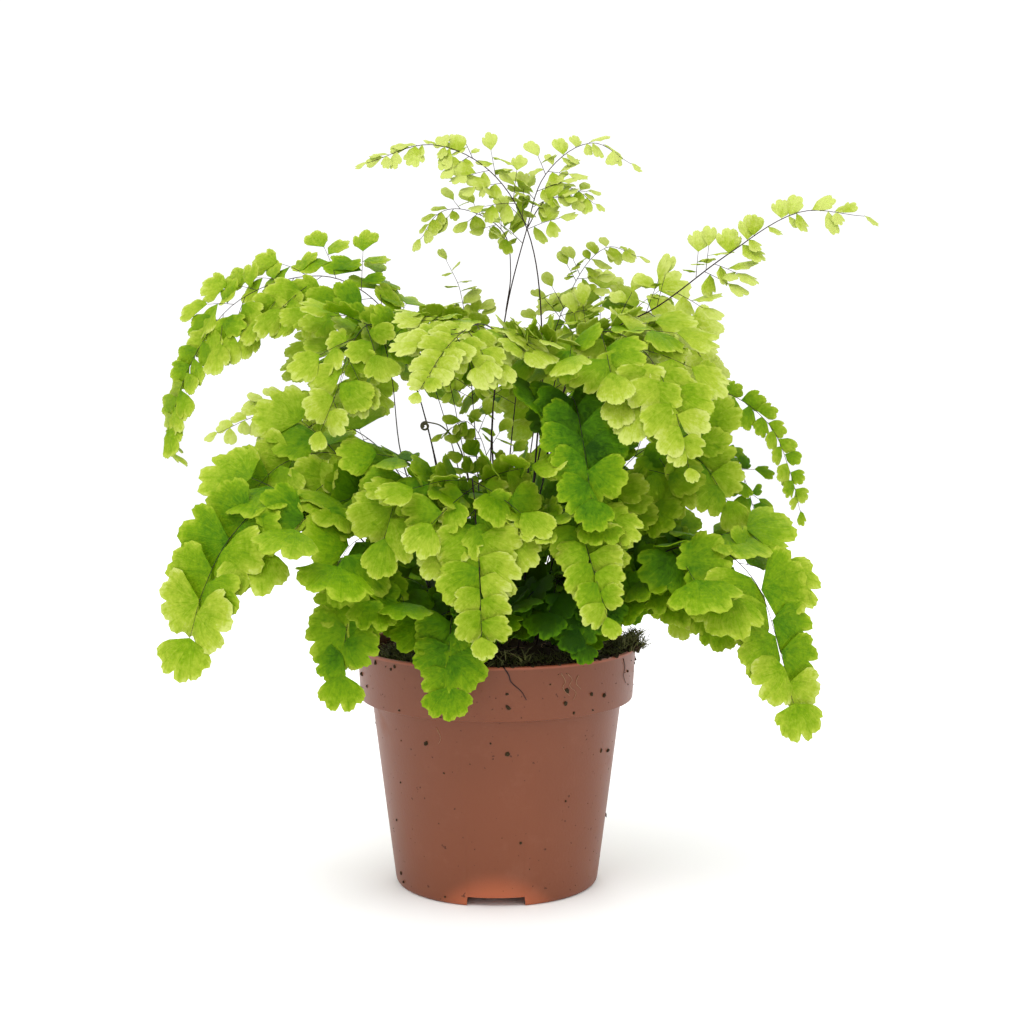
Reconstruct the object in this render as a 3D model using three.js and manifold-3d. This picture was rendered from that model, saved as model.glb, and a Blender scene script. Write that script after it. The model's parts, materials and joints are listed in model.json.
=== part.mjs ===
// A maidenhair fern in a 12 cm nursery pot, in millimetres, +Z up.
// The origin is on the ground under the middle of the pot. -Y is the front of the plant.
import * as THREE from 'three';
import { mergeVertices } from 'three/addons/utils/BufferGeometryUtils.js';
import Module from 'manifold-3d';

const wasm = await Module();
wasm.setup();

// Pot
const potHeight = 103;
const rimRadius = 60;
const bandBottom = 80.4;
const bandBottomRadius = 58.7;
const bodyTopRadius = 53.8;
const footRadius = 43.8;
const potWall = 1.3;
const footRingWidth = 4;
const floorRise = 4;
const notchWidth = 23.5;
const notchAngles = [-90, 30, 150];
const drainRadius = 5;
const drainCircle = 27;
const drainCount = 4;
const potSegments = 32;

// Soil
const touchGap = 0.3;
const soilEdgeHeight = 97.5;
const soilRise = 9;
const soilSegments = 20;
const soilRings = 4;
const holeReach = 20;

// Stalks
const stalkRadius = 0.7;
const stalkSides = 4;
const stalkStep = 34;
const stalkFootDepth = 8;

// Blades: the rib is a strip, and a bud is the short edge of it that something grows from
const bladeThickness = 0.7;
const ribHalfWidth = 0.7;
const ribStep = 3;
const ribPitch = 1;
const budWidth = 1.6;
const branchShare = 0.56;
const branchTaper = 0.45;
const branchAngle = THREE.MathUtils.degToRad(50);
const branchHang = 0.22;
const branchSag = 0.0045;
const leafletAngle = THREE.MathUtils.degToRad(70);
const leafletTwist = THREE.MathUtils.degToRad(20);
const leafletHang = 0.3;
const leafletSpacing = 0.68;
const leafletTaper = 0.3;

// Half a leaflet's outline from its stalk to the notch between its two lobes, for a leaflet
// of length 1: distance out, distance aside and lift
const leafletCorner = [0.62, 0.54, 0.02];
const leafletLobe = [0.98, 0.3, -0.05];
const leafletNotch = [0.84, 0, 0.02];
const sampleRows = 6;
const sampleColumns = 9;

// How far new growth keeps from what has grown, and the bends that are tried to reach that
const leafletClearance = 1.9;
const ribClearance = 2.6;
const ownRibClearance = 1.5;
const ownRibStart = 3;
const foldLimit = 0.12;
const bends = [0, 16, -16, 32, -32, 48, -48].map(THREE.MathUtils.degToRad);

const up = new THREE.Vector3(0, 0, 1);
const down = new THREE.Vector3(0, 0, -1);

// Each frond: its way from the soil to its tip, the share of it that is bare stalk, where its
// upper face looks, the size of a leaflet, its number of side branches and the longest of them.
const front = [0, -0.8, 0.6];
const frontUp = [0, -0.55, 0.83];
const frontLeft = [-0.35, -0.7, 0.62];
const frontRight = [0.35, -0.7, 0.62];
const backUp = [0, 0.5, 0.86];
const fronds = [
  { name: 'tall_left', bare: 0.62, face: front, leaf: 9, branches: 4, reach: 22,
    way: [[10, 6, 100], [14, 6, 150], [18, 5, 200], [19, 4, 245], [13, 0, 280], [-3, -5, 304],
      [-27, -10, 314], [-53, -15, 306]] },
  { name: 'tall_right', bare: 0.62, face: front, leaf: 9, branches: 4, reach: 22,
    way: [[3, 11, 100], [1, 11, 150], [-2, 10, 195], [4, 9, 245], [13, 11, 281], [21, 11, 304],
      [40, 9, 317], [57, 6, 308]] },
  { name: 'right_high', bare: 0.46, face: frontRight, leaf: 10, branches: 5, reach: 24,
    way: [[13, 0, 100], [17, -2, 150], [25, -6, 200], [39, -12, 231], [67, -20, 247],
      [95, -28, 268], [122, -36, 284], [147, -42, 282]] },
  { name: 'left_arch', bare: 0.42, face: frontLeft, leaf: 16, branches: 7, reach: 32,
    way: [[-10, 4, 100], [-18, 4, 140], [-26, 3, 181], [-37, 5, 221], [-50, 8, 248],
      [-76, 14, 261], [-112, 20, 251], [-133, 20, 225], [-146, 20, 188]] },
  { name: 'left_mid', bare: 0.62, face: frontLeft, leaf: 17, branches: 4, reach: 28,
    way: [[-14, -3, 100], [-26, -5, 140], [-40, -10, 184], [-44, -18, 221], [-50, -28, 239],
      [-58, -40, 231], [-63, -49, 213], [-69, -55, 197]] },
  { name: 'low_left', bare: 0.42, face: frontLeft, leaf: 22, branches: 6, reach: 32,
    way: [[-15, -12, 100], [-27, -23, 120], [-42, -35, 137], [-60, -48, 158], [-86, -62, 170],
      [-103, -70, 156], [-113, -75, 136], [-118, -77, 118]] },
  { name: 'left_rim', bare: 0.42, face: frontUp, leaf: 20, branches: 4, reach: 24,
    way: [[-8, -17, 100], [-22, -34, 118], [-38, -48, 131], [-49, -59, 138], [-55, -69, 132],
      [-58, -75, 118], [-59, -78, 104]] },
  { name: 'left_shade', bare: 0.5, face: frontLeft, leaf: 21, branches: 4, reach: 34,
    way: [[-18, -7, 100], [-31, -13, 135], [-42, -19, 162], [-54, -25, 181], [-70, -31, 187],
      [-88, -37, 182], [-101, -42, 168]] },
  { name: 'top_front', bare: 0.56, face: frontUp, leaf: 15, branches: 6, reach: 38,
    way: [[-2, -6, 100], [-3, -9, 145], [-2, -14, 195], [0, -27, 232], [-6, -52, 239],
      [-17, -79, 231], [-28, -100, 213]] },
  { name: 'top_right', bare: 0.5, face: frontUp, leaf: 18, branches: 6, reach: 38,
    way: [[6, -7, 100], [12, -12, 150], [22, -20, 205], [30, -32, 230], [46, -48, 236],
      [60, -63, 226], [69, -75, 206], [74, -82, 184]] },
  { name: 'top_back', bare: 0.5, face: frontRight, leaf: 17, branches: 5, reach: 34,
    way: [[14, 8, 100], [20, 12, 150], [28, 17, 207], [42, 24, 238], [63, 30, 245],
      [86, 31, 232], [99, 27, 208]] },
  { name: 'right_arch', bare: 0.48, face: frontRight, leaf: 17, branches: 5, reach: 28,
    way: [[18, 2, 100], [29, 6, 150], [46, 10, 193], [71, 13, 210], [98, 14, 211],
      [118, 11, 197], [127, 7, 176], [131, 5, 160]] },
  { name: 'centre_shade', bare: 0.55, face: frontUp, leaf: 22, branches: 4, reach: 32,
    way: [[9, -14, 100], [14, -21, 150], [22, -31, 185], [28, -46, 208], [31, -60, 209],
      [34, -71, 194], [37, -78, 172]] },
  { name: 'centre_right', bare: 0.42, face: frontUp, leaf: 20, branches: 5, reach: 28,
    way: [[16, -17, 100], [20, -29, 125], [25, -44, 152], [29, -59, 167], [33, -71, 160],
      [38, -79, 144], [43, -84, 127]] },
  { name: 'centre_front', bare: 0.44, face: frontUp, leaf: 21, branches: 6, reach: 36,
    way: [[-2, -19, 100], [-5, -31, 130], [-8, -46, 160], [-9, -61, 178], [-8, -74, 172],
      [-6, -84, 148], [-5, -89, 120]] },
  { name: 'front_rim', bare: 0.5, face: frontUp, leaf: 20, branches: 2, reach: 18,
    way: [[-9, -25, 100], [-13, -38, 116], [-15, -51, 126], [-17, -62, 124], [-18, -69, 113],
      [-18, -72, 98]] },
  { name: 'centre_low', bare: 0.36, face: frontUp, leaf: 20, branches: 3, reach: 26,
    way: [[8, -25, 100], [12, -34, 119], [18, -44, 133], [25, -54, 137], [31, -62, 128],
      [34, -67, 114]] },
  { name: 'right_low', bare: 0.42, face: frontRight, leaf: 22, branches: 6, reach: 32,
    way: [[20, -12, 100], [35, -26, 118], [52, -38, 134], [70, -50, 149], [87, -60, 151],
      [102, -67, 138], [110, -72, 116], [116, -76, 92]] },
  { name: 'right_inner', bare: 0.4, face: frontUp, leaf: 21, branches: 4, reach: 30,
    way: [[22, -6, 100], [35, -16, 121], [49, -26, 138], [64, -35, 147], [78, -43, 140],
      [87, -50, 122]] },
  { name: 'right_mid', bare: 0.45, face: frontRight, leaf: 20, branches: 4, reach: 34,
    way: [[14, -9, 100], [29, -12, 140], [46, -17, 170], [64, -24, 189], [82, -32, 185],
      [94, -38, 168]] },
  { name: 'right_thin', bare: 0.6, face: frontRight, leaf: 17, branches: 3, reach: 20,
    way: [[22, 7, 100], [45, 9, 135], [66, 11, 158], [88, 12, 177], [103, 10, 179],
      [111, 8, 162], [115, 6, 144]] },
  { name: 'mid_left', bare: 0.46, face: frontUp, leaf: 20, branches: 4, reach: 32,
    way: [[-8, -10, 100], [-14, -19, 140], [-20, -33, 168], [-29, -49, 183], [-37, -63, 175],
      [-43, -72, 156]] },
  { name: 'back_left', bare: 0.5, face: backUp, leaf: 18, branches: 5, reach: 36,
    way: [[-13, 17, 100], [-22, 24, 150], [-34, 38, 205], [-50, 60, 234], [-68, 82, 228],
      [-79, 98, 203], [-85, 106, 176]] },
  { name: 'back_mid', bare: 0.5, face: backUp, leaf: 18, branches: 5, reach: 36,
    way: [[1, 18, 100], [3, 27, 150], [8, 42, 205], [12, 61, 233], [15, 81, 231],
      [18, 97, 211], [20, 105, 184]] },
  { name: 'back_right', bare: 0.5, face: backUp, leaf: 18, branches: 5, reach: 36,
    way: [[12, 16, 100], [20, 25, 150], [33, 40, 205], [50, 58, 233], [69, 77, 227],
      [82, 91, 203], [89, 99, 177]] },
  { name: 'back_low_left', bare: 0.42, face: backUp, leaf: 20, branches: 4, reach: 28,
    way: [[-8, 24, 100], [-22, 36, 116], [-38, 53, 129], [-52, 70, 129], [-62, 83, 112],
      [-67, 90, 90]] },
  { name: 'back_low_right', bare: 0.42, face: backUp, leaf: 20, branches: 4, reach: 30,
    way: [[17, 22, 100], [30, 38, 120], [47, 57, 139], [64, 75, 143], [78, 88, 127],
      [87, 97, 103]] },
  { name: 'back_low_mid', bare: 0.42, face: backUp, leaf: 20, branches: 4, reach: 30,
    way: [[4, 26, 100], [3, 42, 122], [1, 62, 140], [0, 80, 138], [-1, 95, 120],
      [-2, 103, 97]] },
];

// The young frond that is still rolled up: its stalk's way, and the coil at the stalk's end
const crozierWay = [[-4, 1, 100], [-8, -3, 140], [-12, -7, 174], [-16, -10, 189],
  [-23, -11, 197], [-30, -11, 199]];
const crozierStalkSteps = 8;
const crozierTurnSteps = 12;
const crozierTurns = 1.35;
const crozierRadius = 3.1;
const crozierTightness = 0.6;
const crozierShift = 0.11;

const finishes = {
  pot: { color: 0x8f5a48, roughness: 0.42, metalness: 0 },
  soil: { color: 0x2b2018, roughness: 1, metalness: 0 },
  stalk: { color: 0x1c1114, roughness: 0.35, metalness: 0 },
  blade: { color: 0x86b32c, roughness: 0.5, metalness: 0 },
  crozier: { color: 0x6b7a34, roughness: 0.6, metalness: 0 },
};

const vec = (point) => new THREE.Vector3(...point);

// A repeatable stream of numbers from 0 to 1
function randomStream(seed) {
  let state = seed >>> 0;
  return () => {
    state = (state + 0x6d2b79f5) >>> 0;
    let mixed = Math.imul(state ^ (state >>> 15), state | 1);
    mixed ^= mixed + Math.imul(mixed ^ (mixed >>> 7), mixed | 61);
    return ((mixed ^ (mixed >>> 14)) >>> 0) / 4294967296;
  };
}

// A three.js geometry as a solid that can be joined and cut, and back again
function toSolid(geometry) {
  const bare = geometry.clone();
  bare.deleteAttribute('normal');
  bare.deleteAttribute('uv');
  const merged = mergeVertices(bare, 1e-4);
  return new wasm.Manifold(new wasm.Mesh({
    numProp: 3,
    vertProperties: new Float32Array(merged.attributes.position.array),
    triVerts: new Uint32Array(merged.index.array),
  }));
}

function toGeometry(solid) {
  const mesh = solid.getMesh();
  const geometry = new THREE.BufferGeometry();
  geometry.setAttribute('position', new THREE.BufferAttribute(mesh.vertProperties, 3));
  geometry.setIndex(new THREE.BufferAttribute(mesh.triVerts, 1));
  return geometry;
}

const turned = (points, segments) => {
  const profile = points.map(([radius, height]) => new THREE.Vector2(radius, height));
  return new THREE.LatheGeometry(profile, segments).rotateX(Math.PI / 2);
};

const cylinder = (radius, height, sides) =>
  new THREE.CylinderGeometry(radius, radius, height, sides).rotateX(Math.PI / 2);

// Inner radius of the pot's body at a height
function innerRadius(height) {
  const slope = (bodyTopRadius - footRadius) / bandBottom;
  return footRadius + slope * height - potWall;
}

function makePot() {
  const floorTop = floorRise + potWall;
  const innerBandBottom = bandBottom + potWall;
  const outside = [
    [0, floorRise], [footRadius - footRingWidth, floorRise],
    [footRadius - footRingWidth + 0.4, 0], [footRadius - 1.5, 0],
    [footRadius - 0.4, 0.5], [footRadius + 0.1, 2],
    [bodyTopRadius, bandBottom - 0.4], [bodyTopRadius + 0.5, bandBottom],
    [bandBottomRadius - 0.5, bandBottom], [bandBottomRadius, bandBottom + 0.7],
    [rimRadius, potHeight - 1], [rimRadius - 0.35, potHeight - 0.2],
    [rimRadius - 0.9, potHeight],
  ];
  const inside = [
    [rimRadius - 1.7, potHeight - 0.3], [bandBottomRadius - potWall, innerBandBottom],
    [innerRadius(innerBandBottom), innerBandBottom - 0.6], [innerRadius(floorTop), floorTop],
    [0, floorTop],
  ];
  let pot = toSolid(turned([...outside, ...inside], potSegments));
  for (const angle of notchAngles) {
    const notch = new THREE.BoxGeometry(footRingWidth + 8, notchWidth, 2 * floorRise);
    notch.translate(footRadius, 0, 0).rotateZ(THREE.MathUtils.degToRad(angle));
    pot = pot.subtract(toSolid(notch));
  }
  for (let i = 0; i < drainCount; i++) {
    const drain = cylinder(drainRadius, 4 * potWall, 10).translate(drainCircle, 0, floorRise);
    pot = pot.subtract(toSolid(drain.rotateZ((i + 0.5) * 2 * Math.PI / drainCount)));
  }
  return toGeometry(pot);
}

// Height of the soil's surface: a low mound with small lumps
function soilHeight(x, y) {
  const share = Math.min(1, Math.hypot(x, y) / bandBottomRadius);
  const lumps = Math.sin(0.23 * x + 1) * Math.cos(0.19 * y) + 0.6 * Math.sin(0.31 * y - 0.17 * x);
  return soilEdgeHeight + soilRise * (1 - share * share) + 0.9 * lumps * (1 - share ** 6);
}

// Soil with a plain hole for each stalk, slanted as the stalk is
function makeSoil(stalks) {
  const innerBandBottom = bandBottom + potWall + touchGap;
  const floor = floorRise + potWall + touchGap;
  const edgeRadius = rimRadius - 1.7 - touchGap - 0.4;
  const profile = [
    [0, floor], [innerRadius(floor) - touchGap, floor],
    [innerRadius(innerBandBottom) - touchGap - 0.1, innerBandBottom],
    [bandBottomRadius - potWall - touchGap - 0.1, innerBandBottom + 0.1],
    [edgeRadius, soilEdgeHeight],
  ];
  for (let ring = soilRings; ring >= 0; ring--) {
    profile.push([edgeRadius * ring / (soilRings + 0.8), soilEdgeHeight + 1]);
  }
  const body = turned(profile, soilSegments);
  const position = body.attributes.position;
  for (let i = 0; i < position.count; i++) {
    if (position.getZ(i) > soilEdgeHeight + 0.5) {
      position.setZ(i, soilHeight(position.getX(i), position.getY(i)));
    }
  }
  let soil = toSolid(body);
  for (const stalk of stalks) {
    const foot = stalk.getPointAt(0);
    const aim = stalk.getPointAt(holeReach / stalk.getLength()).sub(foot).normalize();
    const hole = cylinder(stalkRadius + 2 * touchGap, holeReach, 5);
    hole.translate(0, 0, holeReach / 2 - touchGap);
    hole.applyQuaternion(new THREE.Quaternion().setFromUnitVectors(up, aim));
    soil = soil.subtract(toSolid(hole.translate(foot.x, foot.y, foot.z)));
  }
  return toGeometry(soil);
}

// A round stalk along a curve, closed at both ends
function makeStalk(curve, steps) {
  const section = new THREE.Shape();
  for (let i = 0; i < stalkSides; i++) {
    const angle = 2 * Math.PI * i / stalkSides;
    const corner = [stalkRadius * Math.cos(angle), stalkRadius * Math.sin(angle)];
    if (i === 0) section.moveTo(...corner);
    else section.lineTo(...corner);
  }
  section.closePath();
  return new THREE.ExtrudeGeometry(section, { steps, extrudePath: curve });
}

// A place on a rib: where it is, where it heads, its left side and its upper face
function makeFrame(point, along, leftwards) {
  const normal = new THREE.Vector3().crossVectors(along, leftwards).normalize();
  const side = new THREE.Vector3().crossVectors(normal, along).normalize();
  return { point, along, side, normal };
}

// The frame of what grows out at an angle to the left, hanging by its weight, twisted round
// its own length and bent up from its base
function turnFrame(frame, angle, hang, twist, bend) {
  const { point, along, side } = frame;
  const heading = along.clone().multiplyScalar(Math.cos(angle))
    .addScaledVector(side, Math.sin(angle)).addScaledVector(down, hang).normalize();
  const leftwards = side.clone().multiplyScalar(Math.cos(angle))
    .addScaledVector(along, -Math.sin(angle));
  const next = makeFrame(point, heading, leftwards);
  next.along.applyAxisAngle(next.side, -bend);
  next.normal.applyAxisAngle(next.side, -bend);
  next.side.applyAxisAngle(next.along, twist);
  next.normal.applyAxisAngle(next.along, twist);
  return next;
}

const at = (frame, along, across, lift = 0) => frame.point.clone()
  .addScaledVector(frame.along, along)
  .addScaledVector(frame.side, across)
  .addScaledVector(frame.normal, lift);

// A sheet of triangles that is given its thickness at the end
class Sheet {
  constructor() {
    this.points = [];
    this.normals = [];
    this.faces = [];
  }

  vertex(point, normal) {
    this.points.push(point);
    this.normals.push(normal);
    return this.points.length - 1;
  }

  thicken(thickness) {
    const count = this.points.length;
    const position = [];
    for (const way of [0.5, -0.5]) {
      this.points.forEach((point, i) => {
        position.push(...point.clone().addScaledVector(this.normals[i], way * thickness));
      });
    }
    const index = [];
    const edges = new Set();
    for (const [a, b, c] of this.faces) {
      index.push(a, b, c, a + count, c + count, b + count);
      for (const [from, to] of [[a, b], [b, c], [c, a]]) edges.add(`${from},${to}`);
    }
    for (const edge of edges) {
      const [a, b] = edge.split(',').map(Number);
      if (!edges.has(`${b},${a}`)) index.push(b, a, a + count, b, a + count, b + count);
    }
    const geometry = new THREE.BufferGeometry();
    geometry.setAttribute('position', new THREE.Float32BufferAttribute(position, 3));
    geometry.setIndex(index);
    return geometry;
  }
}

// What has grown so far, to keep new growth clear of it
const grown = [];

function pointsOfRod(curve) {
  return curve.getSpacedPoints(Math.ceil(curve.getLength() / ribPitch));
}

function addGrown(points, triangles, rib) {
  const sphere = new THREE.Sphere().setFromPoints(points);
  grown.push({ points, triangles, rib, sphere });
}

function isNear(points, triangles, distance) {
  const nearest = new THREE.Vector3();
  return triangles.some((triangle) => points.some((point) => {
    triangle.closestPointToPoint(point, nearest);
    return nearest.distanceTo(point) < distance;
  }));
}

// Whether a point is in the pot, in the soil or just above them
function isAtPot(point) {
  if (Math.hypot(point.x, point.y) > rimRadius + leafletClearance) return false;
  return point.z < Math.max(potHeight, soilHeight(point.x, point.y)) + leafletClearance;
}

// Whether new growth is clear of all that has grown. The rib that carries it only counts
// away from the base of the new growth.
function isClear(points, triangles, rib, base) {
  if (points.some(isAtPot)) return false;
  const sphere = new THREE.Sphere().setFromPoints(points);
  sphere.radius += ribClearance;
  return !grown.some((other) => {
    if (!other.sphere.intersectsSphere(sphere)) return false;
    if (other.rib === rib) {
      const far = other.points.filter((point) => point.distanceTo(base) > ownRibStart);
      return isNear(far, triangles, ownRibClearance);
    }
    if (other.triangles.length) {
      const distance = triangles.length ? leafletClearance : ribClearance;
      return isNear(points, other.triangles, distance);
    }
    if (triangles.length) return isNear(other.points, triangles, ribClearance);
    return points.some((a) => other.points.some((b) => a.distanceTo(b) < ribClearance));
  });
}

// A leaflet's corners and triangles, and sample points spread over it
function leafletShape(frame, size) {
  const spot = ([out, aside, lift], side) =>
    at(frame, out * size, side * aside * size, lift * size);
  const notch = spot(leafletNotch, 0);
  const left = [leafletCorner, leafletLobe].map((corner) => spot(corner, 1));
  const right = [leafletCorner, leafletLobe].map((corner) => spot(corner, -1));
  const ring = [left[1], left[0], frame.point, right[0], right[1]];
  const triangles = [];
  for (let i = 0; i + 1 < ring.length; i++) {
    triangles.push(new THREE.Triangle(notch, ring[i], ring[i + 1]));
  }
  const samples = [];
  for (let row = 1; row <= sampleRows; row++) {
    const out = 0.25 + 0.73 * row / sampleRows;
    const half = Math.min(0.88 * out, leafletCorner[1]);
    for (let column = 0; column < sampleColumns; column++) {
      const aside = half * (2 * column / (sampleColumns - 1) - 1);
      samples.push(at(frame, out * size, aside * size));
    }
  }
  return { notch, left, right, triangles, samples };
}

// Grows a leaflet on the short edge of a rib, unless it would fold back over the rib that
// lies behind that edge or come near anything else
function growLeaflet(sheet, frame, size, base, rib, outwards) {
  const shape = leafletShape(frame, size);
  const isFolded = [shape.left[0], shape.right[0]].some(
    (corner) => corner.clone().sub(frame.point).dot(outwards) < foldLimit * size);
  if (isFolded) return false;
  if (!isClear(shape.samples, shape.triangles, rib, frame.point)) return false;
  addGrown(shape.samples, shape.triangles, null);
  const put = (point) => sheet.vertex(point, frame.normal);
  const notch = put(shape.notch);
  const left = shape.left.map(put);
  const right = shape.right.map(put);
  const ring = [left[1], left[0], base[0], base[1], right[0], right[1]];
  for (let i = 0; i + 1 < ring.length; i++) sheet.faces.push([notch, ring[i], ring[i + 1]]);
  return true;
}

// Fills the narrow strip between the two edges of a rib, each a list of [distance, vertex]
function fillRib(sheet, left, right) {
  let i = 0;
  let j = 0;
  while (i + 1 < left.length || j + 1 < right.length) {
    const nextLeft = i + 1 < left.length ? left[i + 1][0] : Infinity;
    const nextRight = j + 1 < right.length ? right[j + 1][0] : Infinity;
    if (nextLeft <= nextRight) {
      sheet.faces.push([left[i][1], right[j][1], left[i + 1][1]]);
      i += 1;
    } else {
      sheet.faces.push([left[i][1], right[j][1], right[j + 1][1]]);
      j += 1;
    }
  }
}

// Grows a rib along a curve with buds on its two sides. Each bud has its place and a function
// that grows it on the short edge it is given.
function growRib(sheet, curve, leftwards, buds, base) {
  const length = curve.getLength();
  const frameAt = (distance) => {
    const share = Math.min(1, distance / length);
    return makeFrame(curve.getPointAt(share), curve.getTangentAt(share), leftwards);
  };
  const edges = { 1: [], '-1': [] };
  const addVertex = (side, distance) => {
    const frame = frameAt(distance);
    const vertex = sheet.vertex(at(frame, 0, side * ribHalfWidth), frame.normal);
    edges[side].push([distance, vertex]);
    return vertex;
  };
  if (base) {
    edges[1].push([0, base[0]]);
    edges[-1].push([0, base[1]]);
  } else {
    addVertex(1, 0);
    addVertex(-1, 0);
  }
  for (const bud of buds) {
    const side = bud.side;
    const bare = edges[-side];
    if (bud.distance - bare[bare.length - 1][0] > ribStep) addVertex(-side, bud.distance);
    const lower = addVertex(side, bud.distance - budWidth / 2);
    const upper = addVertex(side, bud.distance + budWidth / 2);
    bud.grow(frameAt(bud.distance), side > 0 ? [lower, upper] : [upper, lower]);
  }
  const ends = [addVertex(1, length), addVertex(-1, length)];
  fillRib(sheet, edges[1], edges[-1]);
  return { frame: frameAt(length), ends };
}

function tryBends(grow) {
  return bends.some((bend) => grow(bend));
}

function growSideLeaflet(sheet, frame, side, size, base, rib, random) {
  const angle = side * (leafletAngle + 0.3 * (random() - 0.5));
  const hang = leafletHang * (0.6 + 0.8 * random());
  const length = size * (0.88 + 0.2 * random());
  const twist = side * leafletTwist * (0.7 + 0.6 * random());
  const edge = { ...frame, point: at(frame, 0, side * ribHalfWidth) };
  const outwards = frame.side.clone().multiplyScalar(side);
  tryBends((bend) => {
    const turnedFrame = turnFrame(edge, angle, hang, twist, bend);
    return growLeaflet(sheet, turnedFrame, length, base, rib, outwards);
  });
}

function growTipLeaflet(sheet, frame, size, base, rib) {
  tryBends((bend) => {
    const turnedFrame = turnFrame(frame, 0, leafletHang / 2, 0, bend);
    return growLeaflet(sheet, turnedFrame, size, base, rib, frame.along);
  });
}

// A side branch: a short rib that sags a little, with leaflets on both sides and at its tip
function growBranch(sheet, frame, side, reach, leaf, base, parent, random) {
  const angle = side * (branchAngle + 0.2 * (random() - 0.5));
  const edge = { ...frame, point: at(frame, 0, side * ribHalfWidth) };
  const rib = `${parent}_${grown.length}`;
  const gap = leafletSpacing * leaf;
  const count = Math.max(1, Math.floor((reach - 0.3 * gap) / gap));
  tryBends((bend) => {
    const start = turnFrame(edge, angle, branchHang, 0, bend);
    const tip = at(start, reach, 0).addScaledVector(down, branchSag * reach * reach);
    const curve = new THREE.QuadraticBezierCurve3(start.point, at(start, reach / 2, 0), tip);
    const path = pointsOfRod(curve);
    if (!isClear(path.slice(3), [], parent, start.point)) return false;
    addGrown(path, [], rib);
    const buds = [];
    for (let i = 0; i < count; i++) {
      const budSide = (i % 2 ? -1 : 1) * side;
      const size = leaf * (0.95 - 0.1 * i / count);
      const grow = (place, edgeBase) => growSideLeaflet(
        sheet, place, budSide, size, edgeBase, rib, random);
      buds.push({ side: budSide, distance: reach * (0.36 + 0.56 * i / count), grow });
    }
    const end = growRib(sheet, curve, start.side, buds, base);
    growTipLeaflet(sheet, end.frame, 0.95 * leaf, end.ends, rib);
    return true;
  });
}

// A frond's green blade: the rib, its side branches, and single leaflets towards the tip
function makeBlade(frond, curve, seed) {
  const random = randomStream(seed);
  const sheet = new Sheet();
  const length = curve.getLength();
  const branchZone = branchShare * length;
  const tipZone = length - branchZone - 2;
  const tipCount = Math.max(3, Math.floor(tipZone / (leafletSpacing * frond.leaf)));
  const buds = [];
  for (let i = 0; i < frond.branches + tipCount; i++) {
    const side = (i + seed) % 2 ? -1 : 1;
    const inTip = i - frond.branches;
    if (inTip < 0) {
      const share = i / frond.branches;
      const reach = frond.reach * (1 - branchTaper * share);
      const grow = (place, base) => growBranch(
        sheet, place, side, reach, frond.leaf, base, frond.name, random);
      buds.push({ side, distance: 3 + branchZone * share, grow });
    } else {
      const share = inTip / tipCount;
      const size = frond.leaf * (1 - leafletTaper * share);
      const grow = (place, base) => growSideLeaflet(
        sheet, place, side, size, base, frond.name, random);
      buds.push({ side, distance: branchZone + tipZone * share, grow });
    }
  }
  const heading = curve.getPointAt(1).sub(curve.getPointAt(0));
  const leftwards = vec(frond.face).cross(heading).normalize();
  const end = growRib(sheet, curve, leftwards, buds, null);
  growTipLeaflet(sheet, end.frame, 0.7 * frond.leaf, end.ends, frond.name);
  return sheet.thicken(bladeThickness);
}

const smoothCurve = (points) => new THREE.CatmullRomCurve3(points, false, 'centripetal');

// A way that starts below the soil's surface, in line with its first stretch
function rootedWay(way) {
  const points = way.map(vec);
  const aim = points[0].clone().sub(points[1]).normalize();
  return smoothCurve([points[0].clone().addScaledVector(aim, stalkFootDepth), ...points]);
}

// The stretch of a curve between two shares of its length
function cutCurve(curve, from, to) {
  const count = Math.ceil(curve.getLength() * (to - from) / 12);
  const points = [];
  for (let i = 0; i <= count; i++) points.push(curve.getPointAt(from + (to - from) * i / count));
  return smoothCurve(points);
}

// A smooth curve that is divided by its own points, so that a tight coil keeps its form
class PointwiseCurve extends THREE.CatmullRomCurve3 {
  getUtoTmapping(u) {
    return u;
  }
}

// The rolled young frond: its stalk runs on into a flat coil that closes inwards
function crozierPoints() {
  const points = rootedWay(crozierWay).getSpacedPoints(crozierStalkSteps);
  const centre = points[points.length - 1].clone().addScaledVector(down, crozierRadius);
  const coilSteps = Math.round(crozierTurnSteps * crozierTurns);
  for (let i = 1; i <= coilSteps; i++) {
    const angle = 2 * Math.PI * i / crozierTurnSteps;
    const radius = crozierRadius * (1 - crozierTightness * i / coilSteps);
    const offset = [-radius * Math.sin(angle), -crozierShift * i, radius * Math.cos(angle)];
    points.push(centre.clone().add(vec(offset)));
  }
  return points;
}

const object = new THREE.Group();

function addPart(name, geometry, finish) {
  const mesh = new THREE.Mesh(geometry, new THREE.MeshStandardMaterial(finishes[finish]));
  mesh.name = name;
  object.add(mesh);
}

const coil = crozierPoints();
const crozier = new PointwiseCurve(coil, false, 'centripetal');
const plants = fronds.map((frond) => {
  const whole = rootedWay(frond.way);
  const stalk = cutCurve(whole, 0, frond.bare - touchGap / whole.getLength());
  const rib = cutCurve(whole, frond.bare, 1);
  return { frond, stalk, rib };
});
for (const { frond, stalk, rib } of plants) {
  addGrown(pointsOfRod(stalk), [], frond.name);
  addGrown(pointsOfRod(rib), [], frond.name);
}
addGrown(pointsOfRod(smoothCurve(coil)), [], 'crozier');

addPart('pot', makePot(), 'pot');
addPart('soil', makeSoil([...plants.map((plant) => plant.stalk), rootedWay(crozierWay)]), 'soil');
for (const { frond, stalk } of plants) {
  const steps = 3 + Math.round(stalk.getLength() / stalkStep);
  addPart(`stalk_${frond.name}`, makeStalk(stalk, steps), 'stalk');
}
plants.forEach(({ frond, rib }, index) => {
  addPart(`blade_${frond.name}`, makeBlade(frond, rib, index + 1), 'blade');
});
addPart('crozier', makeStalk(crozier, coil.length - 1), 'crozier');

export default object;
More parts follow.
